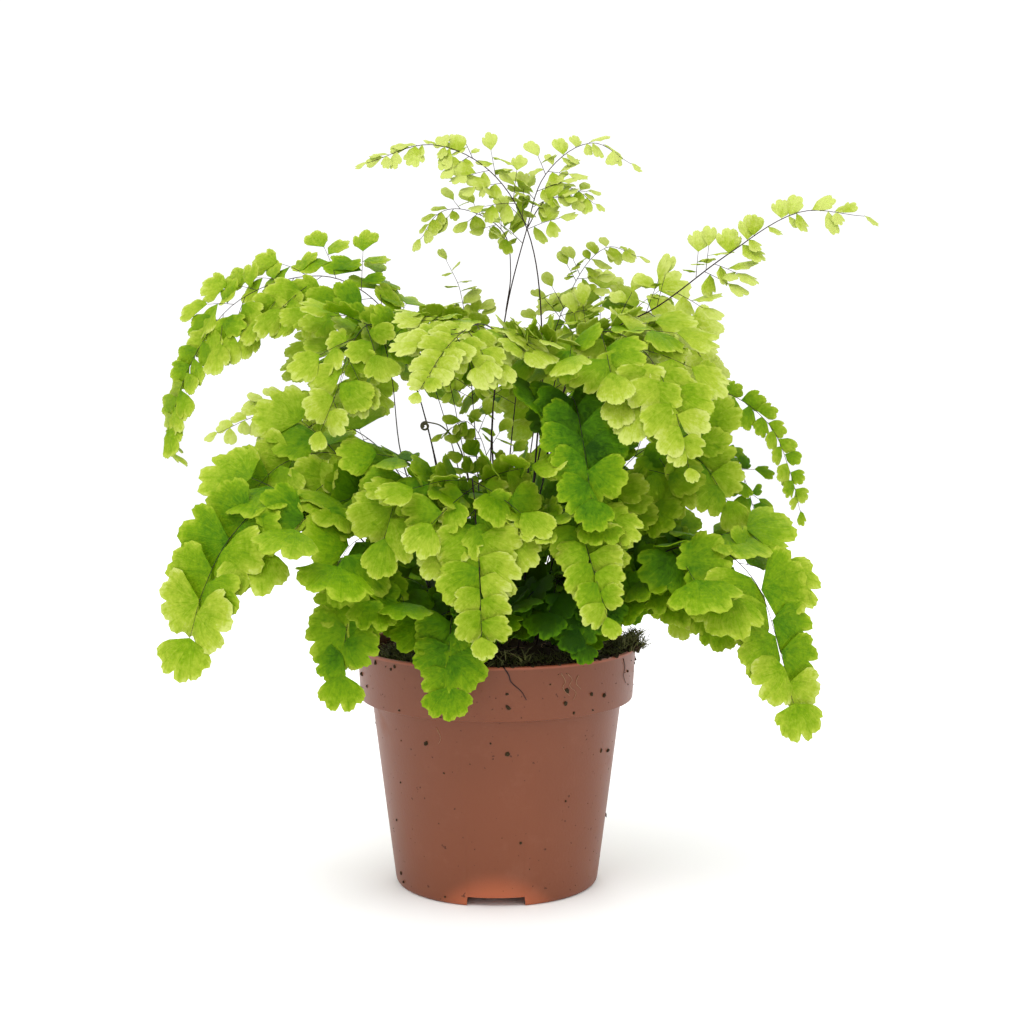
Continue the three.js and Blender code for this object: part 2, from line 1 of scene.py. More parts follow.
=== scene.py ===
import json
import math
import random
from collections import namedtuple

import bmesh
import bpy
from mathutils import Matrix, Vector, noise
from mathutils.geometry import interpolate_bezier

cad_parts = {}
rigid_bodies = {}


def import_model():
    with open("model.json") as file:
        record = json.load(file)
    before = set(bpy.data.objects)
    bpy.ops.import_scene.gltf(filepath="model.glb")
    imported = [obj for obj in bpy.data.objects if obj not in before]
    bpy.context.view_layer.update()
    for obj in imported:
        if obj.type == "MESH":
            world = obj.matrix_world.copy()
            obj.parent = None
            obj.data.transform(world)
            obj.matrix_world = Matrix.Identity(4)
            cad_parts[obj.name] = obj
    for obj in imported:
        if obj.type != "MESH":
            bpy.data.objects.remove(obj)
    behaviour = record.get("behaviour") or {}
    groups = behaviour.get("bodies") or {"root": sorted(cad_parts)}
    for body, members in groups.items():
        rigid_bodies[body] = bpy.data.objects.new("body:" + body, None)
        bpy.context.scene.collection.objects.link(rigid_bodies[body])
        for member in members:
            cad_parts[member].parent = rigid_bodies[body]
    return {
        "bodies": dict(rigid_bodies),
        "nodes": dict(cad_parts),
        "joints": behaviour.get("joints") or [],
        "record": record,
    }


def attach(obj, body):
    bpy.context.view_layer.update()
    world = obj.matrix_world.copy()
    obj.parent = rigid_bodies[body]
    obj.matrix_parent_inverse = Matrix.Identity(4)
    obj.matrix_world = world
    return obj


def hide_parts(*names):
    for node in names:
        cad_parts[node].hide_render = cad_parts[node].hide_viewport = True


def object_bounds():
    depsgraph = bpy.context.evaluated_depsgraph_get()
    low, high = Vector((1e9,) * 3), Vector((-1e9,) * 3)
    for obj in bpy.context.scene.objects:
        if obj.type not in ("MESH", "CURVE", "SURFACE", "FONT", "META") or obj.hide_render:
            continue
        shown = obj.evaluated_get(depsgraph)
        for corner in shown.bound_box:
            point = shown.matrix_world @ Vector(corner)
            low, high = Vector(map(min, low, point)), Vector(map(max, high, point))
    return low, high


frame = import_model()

cadLow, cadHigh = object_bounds()
down = Vector((0, 0, -1))
mm = 0.001
bpy.context.scene.view_settings.view_transform = "Standard"


def arithmetic(operation, reflected=False):
    def apply(self, other):
        first, second = (other, self) if reflected else (self, other)
        return self.paint.node("Math", {"operation": operation}, {0: first, 1: second})
    return apply


class Wire:
    # An output socket. Arithmetic on it adds Math nodes.
    def __init__(self, paint, socket):
        self.paint = paint
        self.socket = socket

    __add__, __radd__ = arithmetic("ADD"), arithmetic("ADD", True)
    __sub__, __rsub__ = arithmetic("SUBTRACT"), arithmetic("SUBTRACT", True)
    __mul__, __rmul__ = arithmetic("MULTIPLY"), arithmetic("MULTIPLY", True)
    __pow__, __rpow__ = arithmetic("POWER"), arithmetic("POWER", True)


class Paint:
    # A material whose nodes are added one after another
    def __init__(self, name):
        self.material = bpy.data.materials.new(name)
        self.material.use_nodes = True
        self.tree = self.material.node_tree
        self.tree.nodes.clear()

    def node(self, kind, settings=None, sockets=None, out=0):
        made = self.tree.nodes.new("ShaderNode" + kind)
        for key, value in (settings or {}).items():
            if key == "stops":
                self.fillRamp(made.color_ramp, value)
            else:
                setattr(made, key, value)
        for key, value in (sockets or {}).items():
            if isinstance(value, Wire):
                self.tree.links.new(value.socket, made.inputs[key])
            else:
                made.inputs[key].default_value = value
        return Wire(self, made.outputs[out])

    def fillRamp(self, ramp, stops):
        while len(ramp.elements) < len(stops):
            ramp.elements.new(1.0)
        for element, (place, color) in zip(ramp.elements, stops):
            element.position = place
            element.color = color

    def blend(self, share, first, second):
        return self.node("Mix", {"data_type": "RGBA"}, {0: share, 6: first, 7: second}, out=2)

    def split(self, wire):
        parts = self.node("SeparateXYZ", {}, {0: wire})
        return [Wire(self, socket) for socket in parts.socket.node.outputs]

    def objectPlace(self, scale=(1, 1, 1)):
        place = self.node("TexCoord", out="Object")
        return self.node("Mapping", {}, {"Vector": place, "Scale": scale})

    def cloud(self, place, scale, detail=3.0, roughness=0.5):
        return self.node("TexNoise", {}, {
            "Vector": place, "Scale": scale, "Detail": detail, "Roughness": roughness})

    def smooth(self, value, low, high):
        return self.node("MapRange", {"interpolation_type": "SMOOTHSTEP"}, {
            "Value": value, "From Min": low, "From Max": high})

    def bump(self, height, strength, distance):
        return self.node("Bump", {}, {
            "Height": height, "Strength": strength, "Distance": distance})

    def finish(self, shader):
        output = self.tree.nodes.new("ShaderNodeOutputMaterial")
        self.tree.links.new(shader.socket, output.inputs["Surface"])
        return self.material


def linear(red, green, blue):
    # A colour as it is picked from a screen, 0 to 255, as the shader needs it
    parts = [part / 255 for part in (red, green, blue)]
    return (*[p / 12.92 if p < 0.04 else ((p + 0.055) / 1.055) ** 2.4 for p in parts], 1.0)


def addObject(name, data):
    made = bpy.data.objects.new(name, data)
    bpy.context.scene.collection.objects.link(made)
    return made


def makeMesh(name, bm, material=None):
    mesh = bpy.data.meshes.new(name)
    bm.to_mesh(mesh)
    bm.free()
    if material:
        mesh.materials.append(material)
    return mesh


def addPiece(name, bm, material, nodes=()):
    piece = addObject(name, makeMesh(name, bm, material))
    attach(piece, "root")
    if nodes:
        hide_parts(*nodes)


def shadeSmooth(bm, sharpAngle=40):
    for face in bm.faces:
        face.smooth = True
    for edge in bm.edges:
        if len(edge.link_faces) == 2:
            edge.smooth = edge.calc_face_angle() < math.radians(sharpAngle)


def turnProfile(bm, profile, steps):
    # Spins a line of (radius, height) points in mm round the upright axis
    line = [bm.verts.new((radius * mm, 0, height * mm)) for radius, height in profile]
    edges = [bm.edges.new(pair) for pair in zip(line, line[1:])]
    bmesh.ops.spin(bm, geom=line + edges, cent=(0, 0, 0), axis=(0, 0, 1),
                   angle=2 * math.pi, steps=steps, use_merge=True)
    bmesh.ops.remove_doubles(bm, verts=bm.verts, dist=1e-6)
    bmesh.ops.recalc_face_normals(bm, faces=bm.faces)


def addStems(name, lines, material, nodes=(), sides=1):
    # Thin round stems, each given by its points and radii, as splines of one curve made a mesh
    curve = bpy.data.curves.new(name, "CURVE")
    curve.dimensions = "3D"
    curve.bevel_depth = 1.0
    curve.bevel_resolution = sides
    curve.use_fill_caps = True
    for points, radii in lines:
        spline = curve.splines.new("POLY")
        spline.points.add(len(points) - 1)
        for spot, point, radius in zip(spline.points, points, radii):
            spot.co = (*point, 1)
            spot.radius = radius
        spline.use_smooth = True
    draft = addObject(name + "_draft", curve)
    ready = draft.evaluated_get(bpy.context.evaluated_depsgraph_get())
    bm = bmesh.new()
    bm.from_mesh(ready.to_mesh())
    ready.to_mesh_clear()
    bpy.data.objects.remove(draft)
    bmesh.ops.remove_doubles(bm, verts=bm.verts, dist=1e-7)
    bmesh.ops.recalc_face_normals(bm, faces=bm.faces)
    addPiece(name, bm, material, nodes)


class Path:
    # A smooth path through points, walked by distance
    def __init__(self, knots, resolution=8):
        self.points = [knots[0]]
        count = len(knots)
        headings = [(knots[min(i + 1, count - 1)] - knots[max(i - 1, 0)]).normalized()
                    for i in range(count)]
        for i in range(count - 1):
            reach = (knots[i + 1] - knots[i]).length / 3
            self.points += interpolate_bezier(
                knots[i], knots[i] + headings[i] * reach,
                knots[i + 1] - headings[i + 1] * reach, knots[i + 1], resolution)[1:]
        self.distances = [0.0]
        for before, after in zip(self.points, self.points[1:]):
            self.distances.append(self.distances[-1] + (after - before).length)
        self.length = self.distances[-1]

    def walk(self, distance):
        distance = min(max(distance, 0.0), self.length - 1e-7)
        i = next(i for i, reached in enumerate(self.distances) if reached > distance) - 1
        step = self.points[i + 1] - self.points[i]
        share = (distance - self.distances[i]) / step.length
        return self.points[i] + step * share, step.normalized()


def taper(path, first, last, power=1.0):
    shares = [reached / path.length for reached in path.distances]
    return [(last + (first - last) * (1 - share) ** power) * mm for share in shares]


print("scene: camera, light and floor")

cameraView = {"place": (0.0066, -0.745, 0.225), "pitch": 5.0, "lens": 61.26, "sensor": 36.0}
camera = bpy.data.cameras.new("camera")
camera.lens = cameraView["lens"]
camera.sensor_width = cameraView["sensor"]
cameraObject = addObject("camera", camera)
cameraObject.location = cameraView["place"]
cameraObject.rotation_euler = (math.radians(90 - cameraView["pitch"]), 0, 0)
bpy.context.scene.camera = cameraObject

lights = {
    "keyLight": {"place": (-0.5, -0.8, 1.6), "size": 1.0, "power": 16},
    "fillLight": {"place": (1.2, -0.9, 0.8), "size": 1.2, "power": 3},
    "backLight": {"place": (0.2, 1.3, 1.0), "size": 1.2, "power": 8},
}
aim = Vector((0, 0, 0.16))
for name, setup in lights.items():
    light = bpy.data.lights.new(name, "AREA")
    light.size = setup["size"]
    light.energy = setup["power"]
    lamp = addObject(name, light)
    lamp.location = setup["place"]
    lamp.rotation_euler = (Vector(setup["place"]) - aim).to_track_quat("Z", "Y").to_euler()

world = bpy.data.worlds.new("studio")
world.use_nodes = True
background = world.node_tree.nodes["Background"].inputs
background["Color"].default_value = (1, 1, 1, 1)
background["Strength"].default_value = 1.1
bpy.context.scene.world = world

floorSetup = {"size": 6, "color": (0.95, 0.95, 0.95, 1), "roughness": 0.7}
floorPaint = Paint("floorPaper")
floorFinish = floorPaint.finish(floorPaint.node("BsdfPrincipled", {}, {
    "Base Color": floorSetup["color"], "Roughness": floorSetup["roughness"]}))
bm = bmesh.new()
bmesh.ops.create_grid(bm, x_segments=1, y_segments=1, size=floorSetup["size"])
floor = addObject("floor", makeMesh("floor", bm, floorFinish))


print("scene: finishes")


def makePotFinish():
    p = Paint("potPlastic")
    place = p.objectPlace()
    x, y, z = p.split(place)
    wide = p.cloud(place, 18, 3)
    fine = p.cloud(place, 900, 2)
    specks = p.smooth(p.cloud(place, 420, 2, 0.6), 0.69, 0.74)
    dust = p.smooth(p.cloud(place, 60, 5, 0.7), 0.5, 0.75)
    # Light that comes up from the floor shows through above the front notch
    notchPlace, glowWidth = 0.044, 22
    glow = p.smooth(z + (x * x + (y + notchPlace) ** 2.0) * glowWidth, 0.017, 0.003)
    # Painted highlight: the top of the rim is made lighter and redder, for the light that falls on it from
    # above
    lipBottom, lipTop = 0.1014, 0.1024
    lip = p.smooth(z, lipBottom, lipTop)
    color = p.blend(wide, linear(108, 54, 26), linear(119, 63, 35))
    color = p.blend(dust * 0.14, color, linear(150, 104, 84))
    color = p.blend(glow * 0.75, color, linear(176, 92, 56))
    color = p.blend(lip * 0.6, color, linear(178, 98, 70))
    color = p.blend(specks * 0.75, color, linear(60, 36, 26))
    return p.finish(p.node("BsdfPrincipled", {}, {
        "Base Color": color, "Roughness": 0.42 + dust * 0.15 + specks * 0.4,
        "Normal": p.bump(fine + specks * 2, 0.12, 0.0004), "Specular IOR Level": 0.38}))


def makeSoilFinish(name, dark, light, scale):
    p = Paint(name)
    place = p.objectPlace()
    lumps = p.cloud(place, scale, 6, 0.7)
    damp = p.cloud(place, 30, 2)
    color = p.blend(lumps, dark, light)
    color = p.blend(damp * 0.35, color, linear(62, 60, 24))
    return p.finish(p.node("BsdfPrincipled", {}, {
        "Base Color": color, "Roughness": 0.9, "Normal": p.bump(lumps, 0.8, 0.002),
        "Specular IOR Level": 0.2}))


def makeStemFinish():
    p = Paint("darkStem")
    streaks = p.cloud(p.objectPlace((1, 1, 0.15)), 900, 3)
    color = p.blend(streaks, linear(16, 9, 10), linear(52, 28, 26))
    return p.finish(p.node("BsdfPrincipled", {}, {
        "Base Color": color, "Roughness": 0.45 + streaks * 0.2, "Specular IOR Level": 0.25}))


def makeLeafFinish():
    p = Paint("leafGreen")
    # The map runs across the leaflet in x, and out from its stalk to its margin in y
    leafMap = p.node("UVMap", {"uv_map": "leaf"})
    out = p.split(leafMap)[1]
    veins = p.cloud(p.node("Mapping", {}, {"Vector": leafMap, "Scale": (44, 1.4, 1)}), 1, 3, 0.7)
    blotches = p.cloud(p.objectPlace(), 190, 6, 0.68)
    grain = p.cloud(p.objectPlace(), 700, 3, 0.6)
    # Each frond's tone: its own colour, with painted shade on fronds deep inside and low down, and painted
    # light on the tall ones on top
    tone = p.node("Attribute", {"attribute_name": "tone"}, out="Fac")
    margin = p.smooth(out, 0.82, 1.0)
    shade = tone + (out - 0.65) * 0.28 + margin * 0.12
    shade = shade + (veins - 0.5) * 0.46 + (blotches - 0.5) * 0.5 + (grain - 0.5) * 0.42
    color = p.node("ValToRGB", {"stops": [
        (0.0, linear(30, 67, 0)), (0.25, linear(75, 123, 3)), (0.5, linear(125, 160, 12)),
        (0.75, linear(174, 192, 56)), (1.0, linear(210, 219, 118))]}, {"Fac": shade})
    bump = p.bump(veins + grain, 0.5, 0.0006)
    front = p.node("BsdfPrincipled", {}, {
        "Base Color": color, "Roughness": 0.55, "Normal": bump, "Specular IOR Level": 0.1})
    through = p.node("BsdfTranslucent", {}, {"Color": linear(182, 212, 14), "Normal": bump})
    throughShare = 0.3
    return p.finish(p.node("MixShader", {}, {0: throughShare, 1: front, 2: through}))


def makePlainFinish(name, first, second, scale, roughness):
    p = Paint(name)
    spots = p.cloud(p.objectPlace(), scale, 4)
    return p.finish(p.node("BsdfPrincipled", {}, {
        "Base Color": p.blend(spots, first, second), "Roughness": roughness,
        "Normal": p.bump(spots, 0.4, 0.0006)}))


potFinish = makePotFinish()
soilFinish = makeSoilFinish("peat", linear(20, 13, 9), linear(74, 52, 34), 500)
crumbFinish = makeSoilFinish("peatCrumbs", linear(17, 12, 8), linear(70, 50, 31), 300)
stemFinish = makeStemFinish()
leafFinish = makeLeafFinish()
crozierFinish = makePlainFinish("youngFrond", linear(50, 44, 20), linear(92, 88, 36), 400, 0.6)
mossFinish = makePlainFinish("moss", linear(44, 42, 16), linear(112, 116, 50), 260, 0.8)
rootFinish = makePlainFinish("rootlet", linear(96, 66, 40), linear(186, 146, 110), 500, 0.7)


print("scene: pot")

# In mm, as in the frame
pot = {
    "height": 103, "rim": 60, "bandBottom": 80.4, "bandFoot": 58.7, "bodyTop": 53.8,
    "foot": 43.8, "wall": 1.3, "floorRise": 4, "ringWidth": 4,
    "notchWidth": 23.5, "notchAngles": (-90, 30, 150), "cornerGap": 0.35, "steps": 128,
}


def bodyRadius(height):
    return pot["foot"] + (pot["bodyTop"] - pot["foot"]) * height / pot["bandBottom"]


def potProfile():
    # Radius and height from the middle of the floor's underside, up outside and down inside
    foot, body, band, rim = pot["foot"], pot["bodyTop"], pot["bandFoot"], pot["rim"]
    wall, rise, step, top = pot["wall"], pot["floorRise"], pot["bandBottom"], pot["height"]
    ring, middle = foot - pot["ringWidth"], 40
    floorTop, shelf = rise + wall, step + wall
    floorEdge, shelfEdge = bodyRadius(floorTop) - wall, bodyRadius(shelf) - wall
    return [
        (0, rise), (ring, rise), (ring + 0.4, 0), (foot - 1.5, 0),
        (foot - 0.6, 0.35), (foot - 0.1, 1.1), (foot + 0.15, 2.2), (bodyRadius(middle), middle),
        (body - 0.1, step - 1), (body + 0.1, step - 0.3), (body + 0.5, step),
        (band - 0.8, step), (band - 0.2, step + 0.25), (band, step + 0.8),
        (rim - 0.1, top - 1.4), (rim, top - 0.8), (rim - 0.2, top - 0.3), (rim - 0.7, top),
        (rim - 1.3, top - 0.05), (rim - 1.7, top - 0.5),
        (band - wall, shelf + 0.6), (band - wall - 0.7, shelf),
        (shelfEdge + 0.4, shelf), (shelfEdge, shelf - 0.6),
        (floorEdge + 0.3, floorTop + 1), (floorEdge - 1, floorTop), (0, floorTop),
    ]


def makePot():
    bm = bmesh.new()
    turnProfile(bm, potProfile(), pot["steps"])
    for angle in pot["notchAngles"]:
        cutNotch(bm, math.radians(angle))
    shadeSmooth(bm, 35)
    addPiece("potShell", bm, potFinish, ["pot"])


def cutNotch(bm, angle):
    # Two planes a hair apart on each side make the notch's ends. What lies between them and
    # below the pot's floor is pushed up to the floor.
    outwards = Vector((math.cos(angle), math.sin(angle), 0))
    aside = Vector((-outwards.y, outwards.x, 0))
    half = pot["notchWidth"] / 2 * mm
    gap = pot["cornerGap"] * mm
    floorRise = pot["floorRise"] * mm
    ringTop = floorRise + 40 * mm
    for offset in (-half - gap, -half, half, half + gap):
        ring = [face for face in bm.faces
                if face.calc_center_median().z < ringTop
                and face.calc_center_median().dot(outwards) > 0]
        around = {edge for face in ring for edge in face.edges}
        corners = {corner for face in ring for corner in face.verts}
        bmesh.ops.bisect_plane(bm, geom=ring + list(around) + list(corners), dist=1e-6,
                               plane_co=aside * offset, plane_no=aside)
    for corner in bm.verts:
        isBetween = abs(corner.co.dot(aside)) < half + 1e-5 and corner.co.dot(outwards) > 0
        if isBetween and corner.co.z < floorRise:
            corner.co.z = floorRise


makePot()


print("scene: soil")

# In mm. Angles are in degrees round the pot, 0 at the front and 90 at the right.
soil = {
    "edgeHeight": 97.5, "rise": 9, "gap": 0.3, "rings": 22, "steps": 96, "roughness": 1.1,
    "crumbs": 900, "crumbSize": (0.35, 1.5), "crumbReach": 57,
    "fibres": 90, "fibreReach": 56, "fibreStep": 1.6, "fibreRadius": 0.11, "edge": 57.5,
}
spill = {
    "lipCrumbs": 100, "lipAngles": (-35, 125, 80), "lipReach": (57, 60.2), "lipSize": (0.3, 1.2),
    "wallCrumbs": 210, "wallSize": (0.16, 1.15),
    "heapCrumbs": 700, "heapAngles": (-60, 140, 60), "heapReach": (46, 58), "heapSize": (0.5, 1.9),
    "heapFoot": 44, "heapWidth": 14, "heapHeight": 5,
    "clump": {"centre": (58, -10, 104), "spread": (3, 10, 3), "crumbs": 240, "size": (0.4, 1.3)},
}
# Roots that have come over the lip, each as its radius and the angle and height of its knots
rootlets = {
    "darkRoots": {"finish": stemFinish, "roots": (
        (0.3, ((3, 103.2), (5, 100), (6, 97), (10, 93), (12, 89.5))),
        (0.12, ((-24, 84), (-22, 81.5), (-20.5, 83), (-18, 82.5))),
        (0.16, ((62, 101), (64, 97), (63, 94), (66, 90))))},
    "paleRoots": {"finish": rootFinish, "roots": (
        (0.14, ((26, 99.5), (28, 96), (27, 93.5), (30, 90))),
        (0.12, ((29, 99), (31, 96.5), (30, 94), (33, 91), (32, 88))),
        (0.12, ((34, 98), (33, 95), (35.5, 92))),
        (0.12, ((-16, 101), (-14, 99.5), (-11, 100.5), (-8, 98))),
        (0.1, ((-27, 76), (-25, 72), (-26.5, 69))))},
}
moss = {
    "tufts": 190, "shoots": 9, "height": (1.2, 4.4), "radius": 0.17, "angles": (-70, 130),
    "reach": 58, "spread": 1.1, "lean": 0.5, "heapFoot": 46, "heapRise": 3.5, "heapWidth": 12,
    "lipPlace": ((57, 2), (-12, 5)), "lipRise": 5,
}
rng = random.Random(5)


def soilHeight(x, y):
    # The same mound as in the frame, in mm
    share = min(1, math.hypot(x, y) / pot["bandFoot"])
    lumps = math.sin(0.23 * x + 1) * math.cos(0.19 * y) + 0.6 * math.sin(0.31 * y - 0.17 * x)
    return soil["edgeHeight"] + soil["rise"] * (1 - share * share) + 0.9 * lumps * (1 - share ** 6)


def wallRadius(height):
    if height > pot["bandBottom"] + 0.5:
        share = (height - pot["bandBottom"]) / (pot["height"] - pot["bandBottom"])
        return pot["bandFoot"] + (pot["rim"] - pot["bandFoot"]) * share
    return bodyRadius(height)


def aroundPot(degrees, reach, height=0.0):
    angle = math.radians(degrees)
    return Vector((reach * math.sin(angle), -reach * math.cos(angle), height))


def onWall(degrees, height, lift=0.0):
    return aroundPot(degrees, wallRadius(height) + lift, height) * mm


def drawPlace(reach):
    # A place drawn evenly from a round patch
    around = rng.uniform(0, 2 * math.pi)
    out = reach * math.sqrt(rng.random())
    return Vector((out * math.cos(around), out * math.sin(around), 0))


def makeSoil():
    edge = pot["rim"] - 1.7 - soil["gap"] - 0.6
    floor = pot["floorRise"] + pot["wall"] + soil["gap"]
    wall = pot["bandFoot"] - pot["wall"] - 1.4
    draftHeight = 100
    profile = [(0, floor), (pot["foot"] - pot["wall"] - 1.5, floor),
               (pot["bodyTop"] - pot["wall"] - 0.4, pot["bandBottom"]),
               (wall, pot["bandBottom"] + 3), (edge, soil["edgeHeight"] - 2)]
    profile += [(edge * ring / soil["rings"], draftHeight) for ring in range(soil["rings"], -1, -1)]
    bm = bmesh.new()
    turnProfile(bm, profile, soil["steps"])
    for corner in bm.verts:
        if corner.co.z > (draftHeight - 1) * mm:
            x, y = corner.co.x / mm, corner.co.y / mm
            rough = noise.fractal(Vector((x, y, 0)) * 0.28, 1.0, 2.1, 4) * soil["roughness"]
            corner.co.z = (soilHeight(x, y) + rough) * mm
    shadeSmooth(bm, 80)
    addPiece("soilMound", bm, soilFinish, ["soil"])


def addCrumb(bm, place, size):
    crumb = bmesh.ops.create_icosphere(bm, subdivisions=1, radius=size * mm)["verts"]
    for corner in crumb:
        corner.co *= rng.uniform(0.7, 1.25)
    stretch = Matrix.Diagonal((rng.uniform(0.7, 1.5), rng.uniform(0.7, 1.2), rng.uniform(0.5, 0.9), 1))
    turn = Matrix.Rotation(rng.uniform(0, 6.28), 4, "Z") @ Matrix.Rotation(rng.uniform(-0.5, 0.5), 4, "X")
    bmesh.ops.transform(bm, matrix=place @ turn @ stretch, verts=crumb)


def makeCrumbs():
    bm = bmesh.new()
    for i in range(soil["crumbs"]):
        size = rng.uniform(*soil["crumbSize"]) * (0.5 + 0.5 * rng.random())
        spot = drawPlace(soil["crumbReach"])
        spot.z = soilHeight(spot.x, spot.y) + 0.25 * size
        addCrumb(bm, Matrix.Translation(spot * mm), size)
    addPiece("soilCrumbs", bm, crumbFinish)


def makeFibres():
    lines = []
    for i in range(soil["fibres"]):
        start = drawPlace(soil["fibreReach"])
        heading = Vector((rng.uniform(-1, 1), rng.uniform(-1, 1), 0)).normalized()
        points = []
        for step in range(5):
            spot = start + heading * soil["fibreStep"] * step
            spot.z = soilHeight(spot.x, spot.y) + 0.6 + 0.5 * rng.random()
            if spot.xy.length < soil["edge"]:
                points.append(spot * mm)
            heading.rotate(Matrix.Rotation(rng.uniform(-0.6, 0.6), 3, "Z"))
        if len(points) > 2:
            lines.append((points, [soil["fibreRadius"] * mm] * len(points)))
    addStems("soilFibres", lines, rootFinish, sides=0)


def addLipCrumbs(bm):
    for i in range(spill["lipCrumbs"]):
        degrees, reach = rng.triangular(*spill["lipAngles"]), rng.uniform(*spill["lipReach"])
        spot = aroundPot(degrees, reach, pot["height"] + 0.1)
        addCrumb(bm, Matrix.Translation(spot * mm), rng.uniform(*spill["lipSize"]))


def addWallCrumbs(bm):
    for i in range(spill["wallCrumbs"]):
        degrees = rng.uniform(0, 360)
        if rng.random() < 0.5:
            height = rng.uniform(pot["bandBottom"] + 1.5, pot["height"] - 2)
        else:
            height = rng.uniform(0.03, 0.96) ** 1.3 * (pot["bandBottom"] - 1)
        outwards = Matrix.Rotation(math.radians(degrees), 4, "Z") @ Matrix.Rotation(math.pi / 2, 4, "X")
        size = spill["wallSize"][0] + spill["wallSize"][1] * rng.random() ** 4
        addCrumb(bm, Matrix.Translation(onWall(degrees, height)) @ outwards, size)


def addHeapCrumbs(bm):
    # Loose soil heaped against the lip
    for i in range(spill["heapCrumbs"]):
        degrees, reach = rng.triangular(*spill["heapAngles"]), rng.uniform(*spill["heapReach"])
        spot = aroundPot(degrees, reach)
        lift = rng.uniform(0, spill["heapHeight"]) * (reach - spill["heapFoot"]) / spill["heapWidth"]
        spot.z = soilHeight(spot.x, spot.y) + lift
        addCrumb(bm, Matrix.Translation(spot * mm), rng.uniform(*spill["heapSize"]))


def addClump(bm):
    clump = spill["clump"]
    for i in range(clump["crumbs"]):
        offset = Vector([rng.gauss(0, 0.45) * spread for spread in clump["spread"]])
        spot = Vector(clump["centre"]) + offset
        if spot.z > pot["height"] - 0.5 or spot.xy.length > pot["rim"] + 0.4:
            addCrumb(bm, Matrix.Translation(spot * mm), rng.uniform(*clump["size"]))


def makeSpill():
    bm = bmesh.new()
    addLipCrumbs(bm)
    addWallCrumbs(bm)
    addHeapCrumbs(bm)
    addClump(bm)
    addPiece("spilledSoil", bm, crumbFinish)


def makeRootlets():
    for name, group in rootlets.items():
        lines = []
        for radius, knots in group["roots"]:
            path = Path([onWall(*knot, lift=0.15) for knot in knots], 5)
            lines.append((path.points, taper(path, radius, radius / 2)))
        addStems(name, lines, group["finish"])


def mossShoot(foot):
    tall = rng.uniform(*moss["height"])
    lean = Vector((rng.gauss(0, moss["lean"]), rng.gauss(0, moss["lean"]), 1)) * tall
    bend = Vector((lean.x, lean.y, -0.2 * tall)) * 0.5
    points = [foot, foot + lean * 0.55, foot + lean + bend]
    return [point * mm for point in points], [moss["radius"] * mm * share for share in (1, 0.9, 0.4)]


def makeMoss():
    lines = []
    for i in range(moss["tufts"]):
        if i % 4:
            middle = aroundPot(rng.uniform(*moss["angles"]), moss["reach"] * rng.uniform(0.45, 1) ** 0.5)
        else:
            middle = Vector((*[rng.gauss(*place) for place in moss["lipPlace"]], 0))
        isOut = middle.length > soil["edge"]
        for j in range(moss["shoots"]):
            foot = middle + Vector((rng.gauss(0, moss["spread"]), rng.gauss(0, moss["spread"]), 0))
            heap = moss["heapRise"] * max(0, foot.length - moss["heapFoot"]) / moss["heapWidth"]
            foot.z = soilHeight(foot.x, foot.y) + heap
            if isOut:
                foot.z = pot["height"] + rng.uniform(0, moss["lipRise"])
            lines.append(mossShoot(foot))
    addStems("mossTufts", lines, mossFinish, sides=0)


makeSoil()
makeCrumbs()
makeFibres()
makeSpill()
makeRootlets()
makeMoss()


print("scene: leaflets")

leaflet = {
    "steps": 32, "rings": (0.0, 0.5, 1.0), "spokeEvery": 4, "thickness": 0.014, "tooth": 0.026,
    "corner": 0.16, "notchPower": 3.2, "bulge": 1.2,
}
# The spread in degrees, the depth of each cut between two lobes, how much the sides fall back,
# the lean of the longest lobe, cupping and wave
Kind = namedtuple("Kind", "spread cuts sides lean cup wave")
leafletKinds = {
    "broad": [
        Kind(122, (0.2, 0.1, 0.17), 0.24, 0.1, 0.12, 0.03),
        Kind(136, (0.12, 0.24, 0.1, 0.17), 0.27, -0.15, 0.14, 0.03),
        Kind(114, (0.12, 0.26, 0.12), 0.23, 0.0, 0.1, 0.02),
        Kind(146, (0.15, 0.09, 0.24, 0.12, 0.15), 0.3, 0.18, 0.16, 0.035),
    ],
    "narrow": [
        Kind(98, (0.2, 0.1), 0.36, 0.2, 0.1, 0.02),
        Kind(106, (0.1, 0.22, 0.11), 0.4, -0.15, 0.14, 0.03),
        Kind(114, (0.13, 0.08, 0.2, 0.1), 0.42, 0.2, 0.16, 0.035),
        Kind(96, (0.12, 0.24, 0.1), 0.36, -0.25, 0.12, 0.03),
        Kind(84, (0.13, 0.1), 0.34, 0.14, 0.1, 0.015),
        Kind(104, (0.17, 0.1, 0.15), 0.38, 0.08, 0.18, 0.03),
    ],
    "wedge": [
        Kind(66, (0.2,), 0.34, 0.2, 0.12, 0.02),
        Kind(78, (0.1, 0.22), 0.36, -0.2, 0.14, 0.025),
        Kind(90, (0.16, 0.1, 0.2), 0.38, 0.1, 0.16, 0.03),
        Kind(72, (0.12, 0.1), 0.4, 0.3, 0.1, 0.02),
    ],
    "plain": [
        Kind(80, (0.1,), 0.34, 0.2, 0.14, 0.02),
        Kind(68, (), 0.3, -0.2, 0.1, 0.02),
        Kind(92, (0.16, 0.08), 0.42, 0.1, 0.16, 0.03),
    ],
}


def sideReach(kind, across):
    # How far a leaflet goes out, without lobes, from one side (-1) to the other (1)
    roundness = 1.8
    return 1 - kind.sides * abs(across - kind.lean) ** roundness


def marginReach(kind, across):
    cuts = (leaflet["corner"], *kind.cuts, leaflet["corner"])
    phase = (across + 1) / 2 * (len(cuts) - 1)
    fromMiddle = 2 * abs(phase % 1 - 0.5)
    return sideReach(kind, across) * (1 - cuts[round(phase)] * fromMiddle ** leaflet["notchPower"])


def stepAt(across):
    return round((across + 1) / 2 * leaflet["steps"])


def isInner(reach):
    # On the middle ring, between the stalk at 0 and the margin at 1
    return 0.1 < reach < 0.9


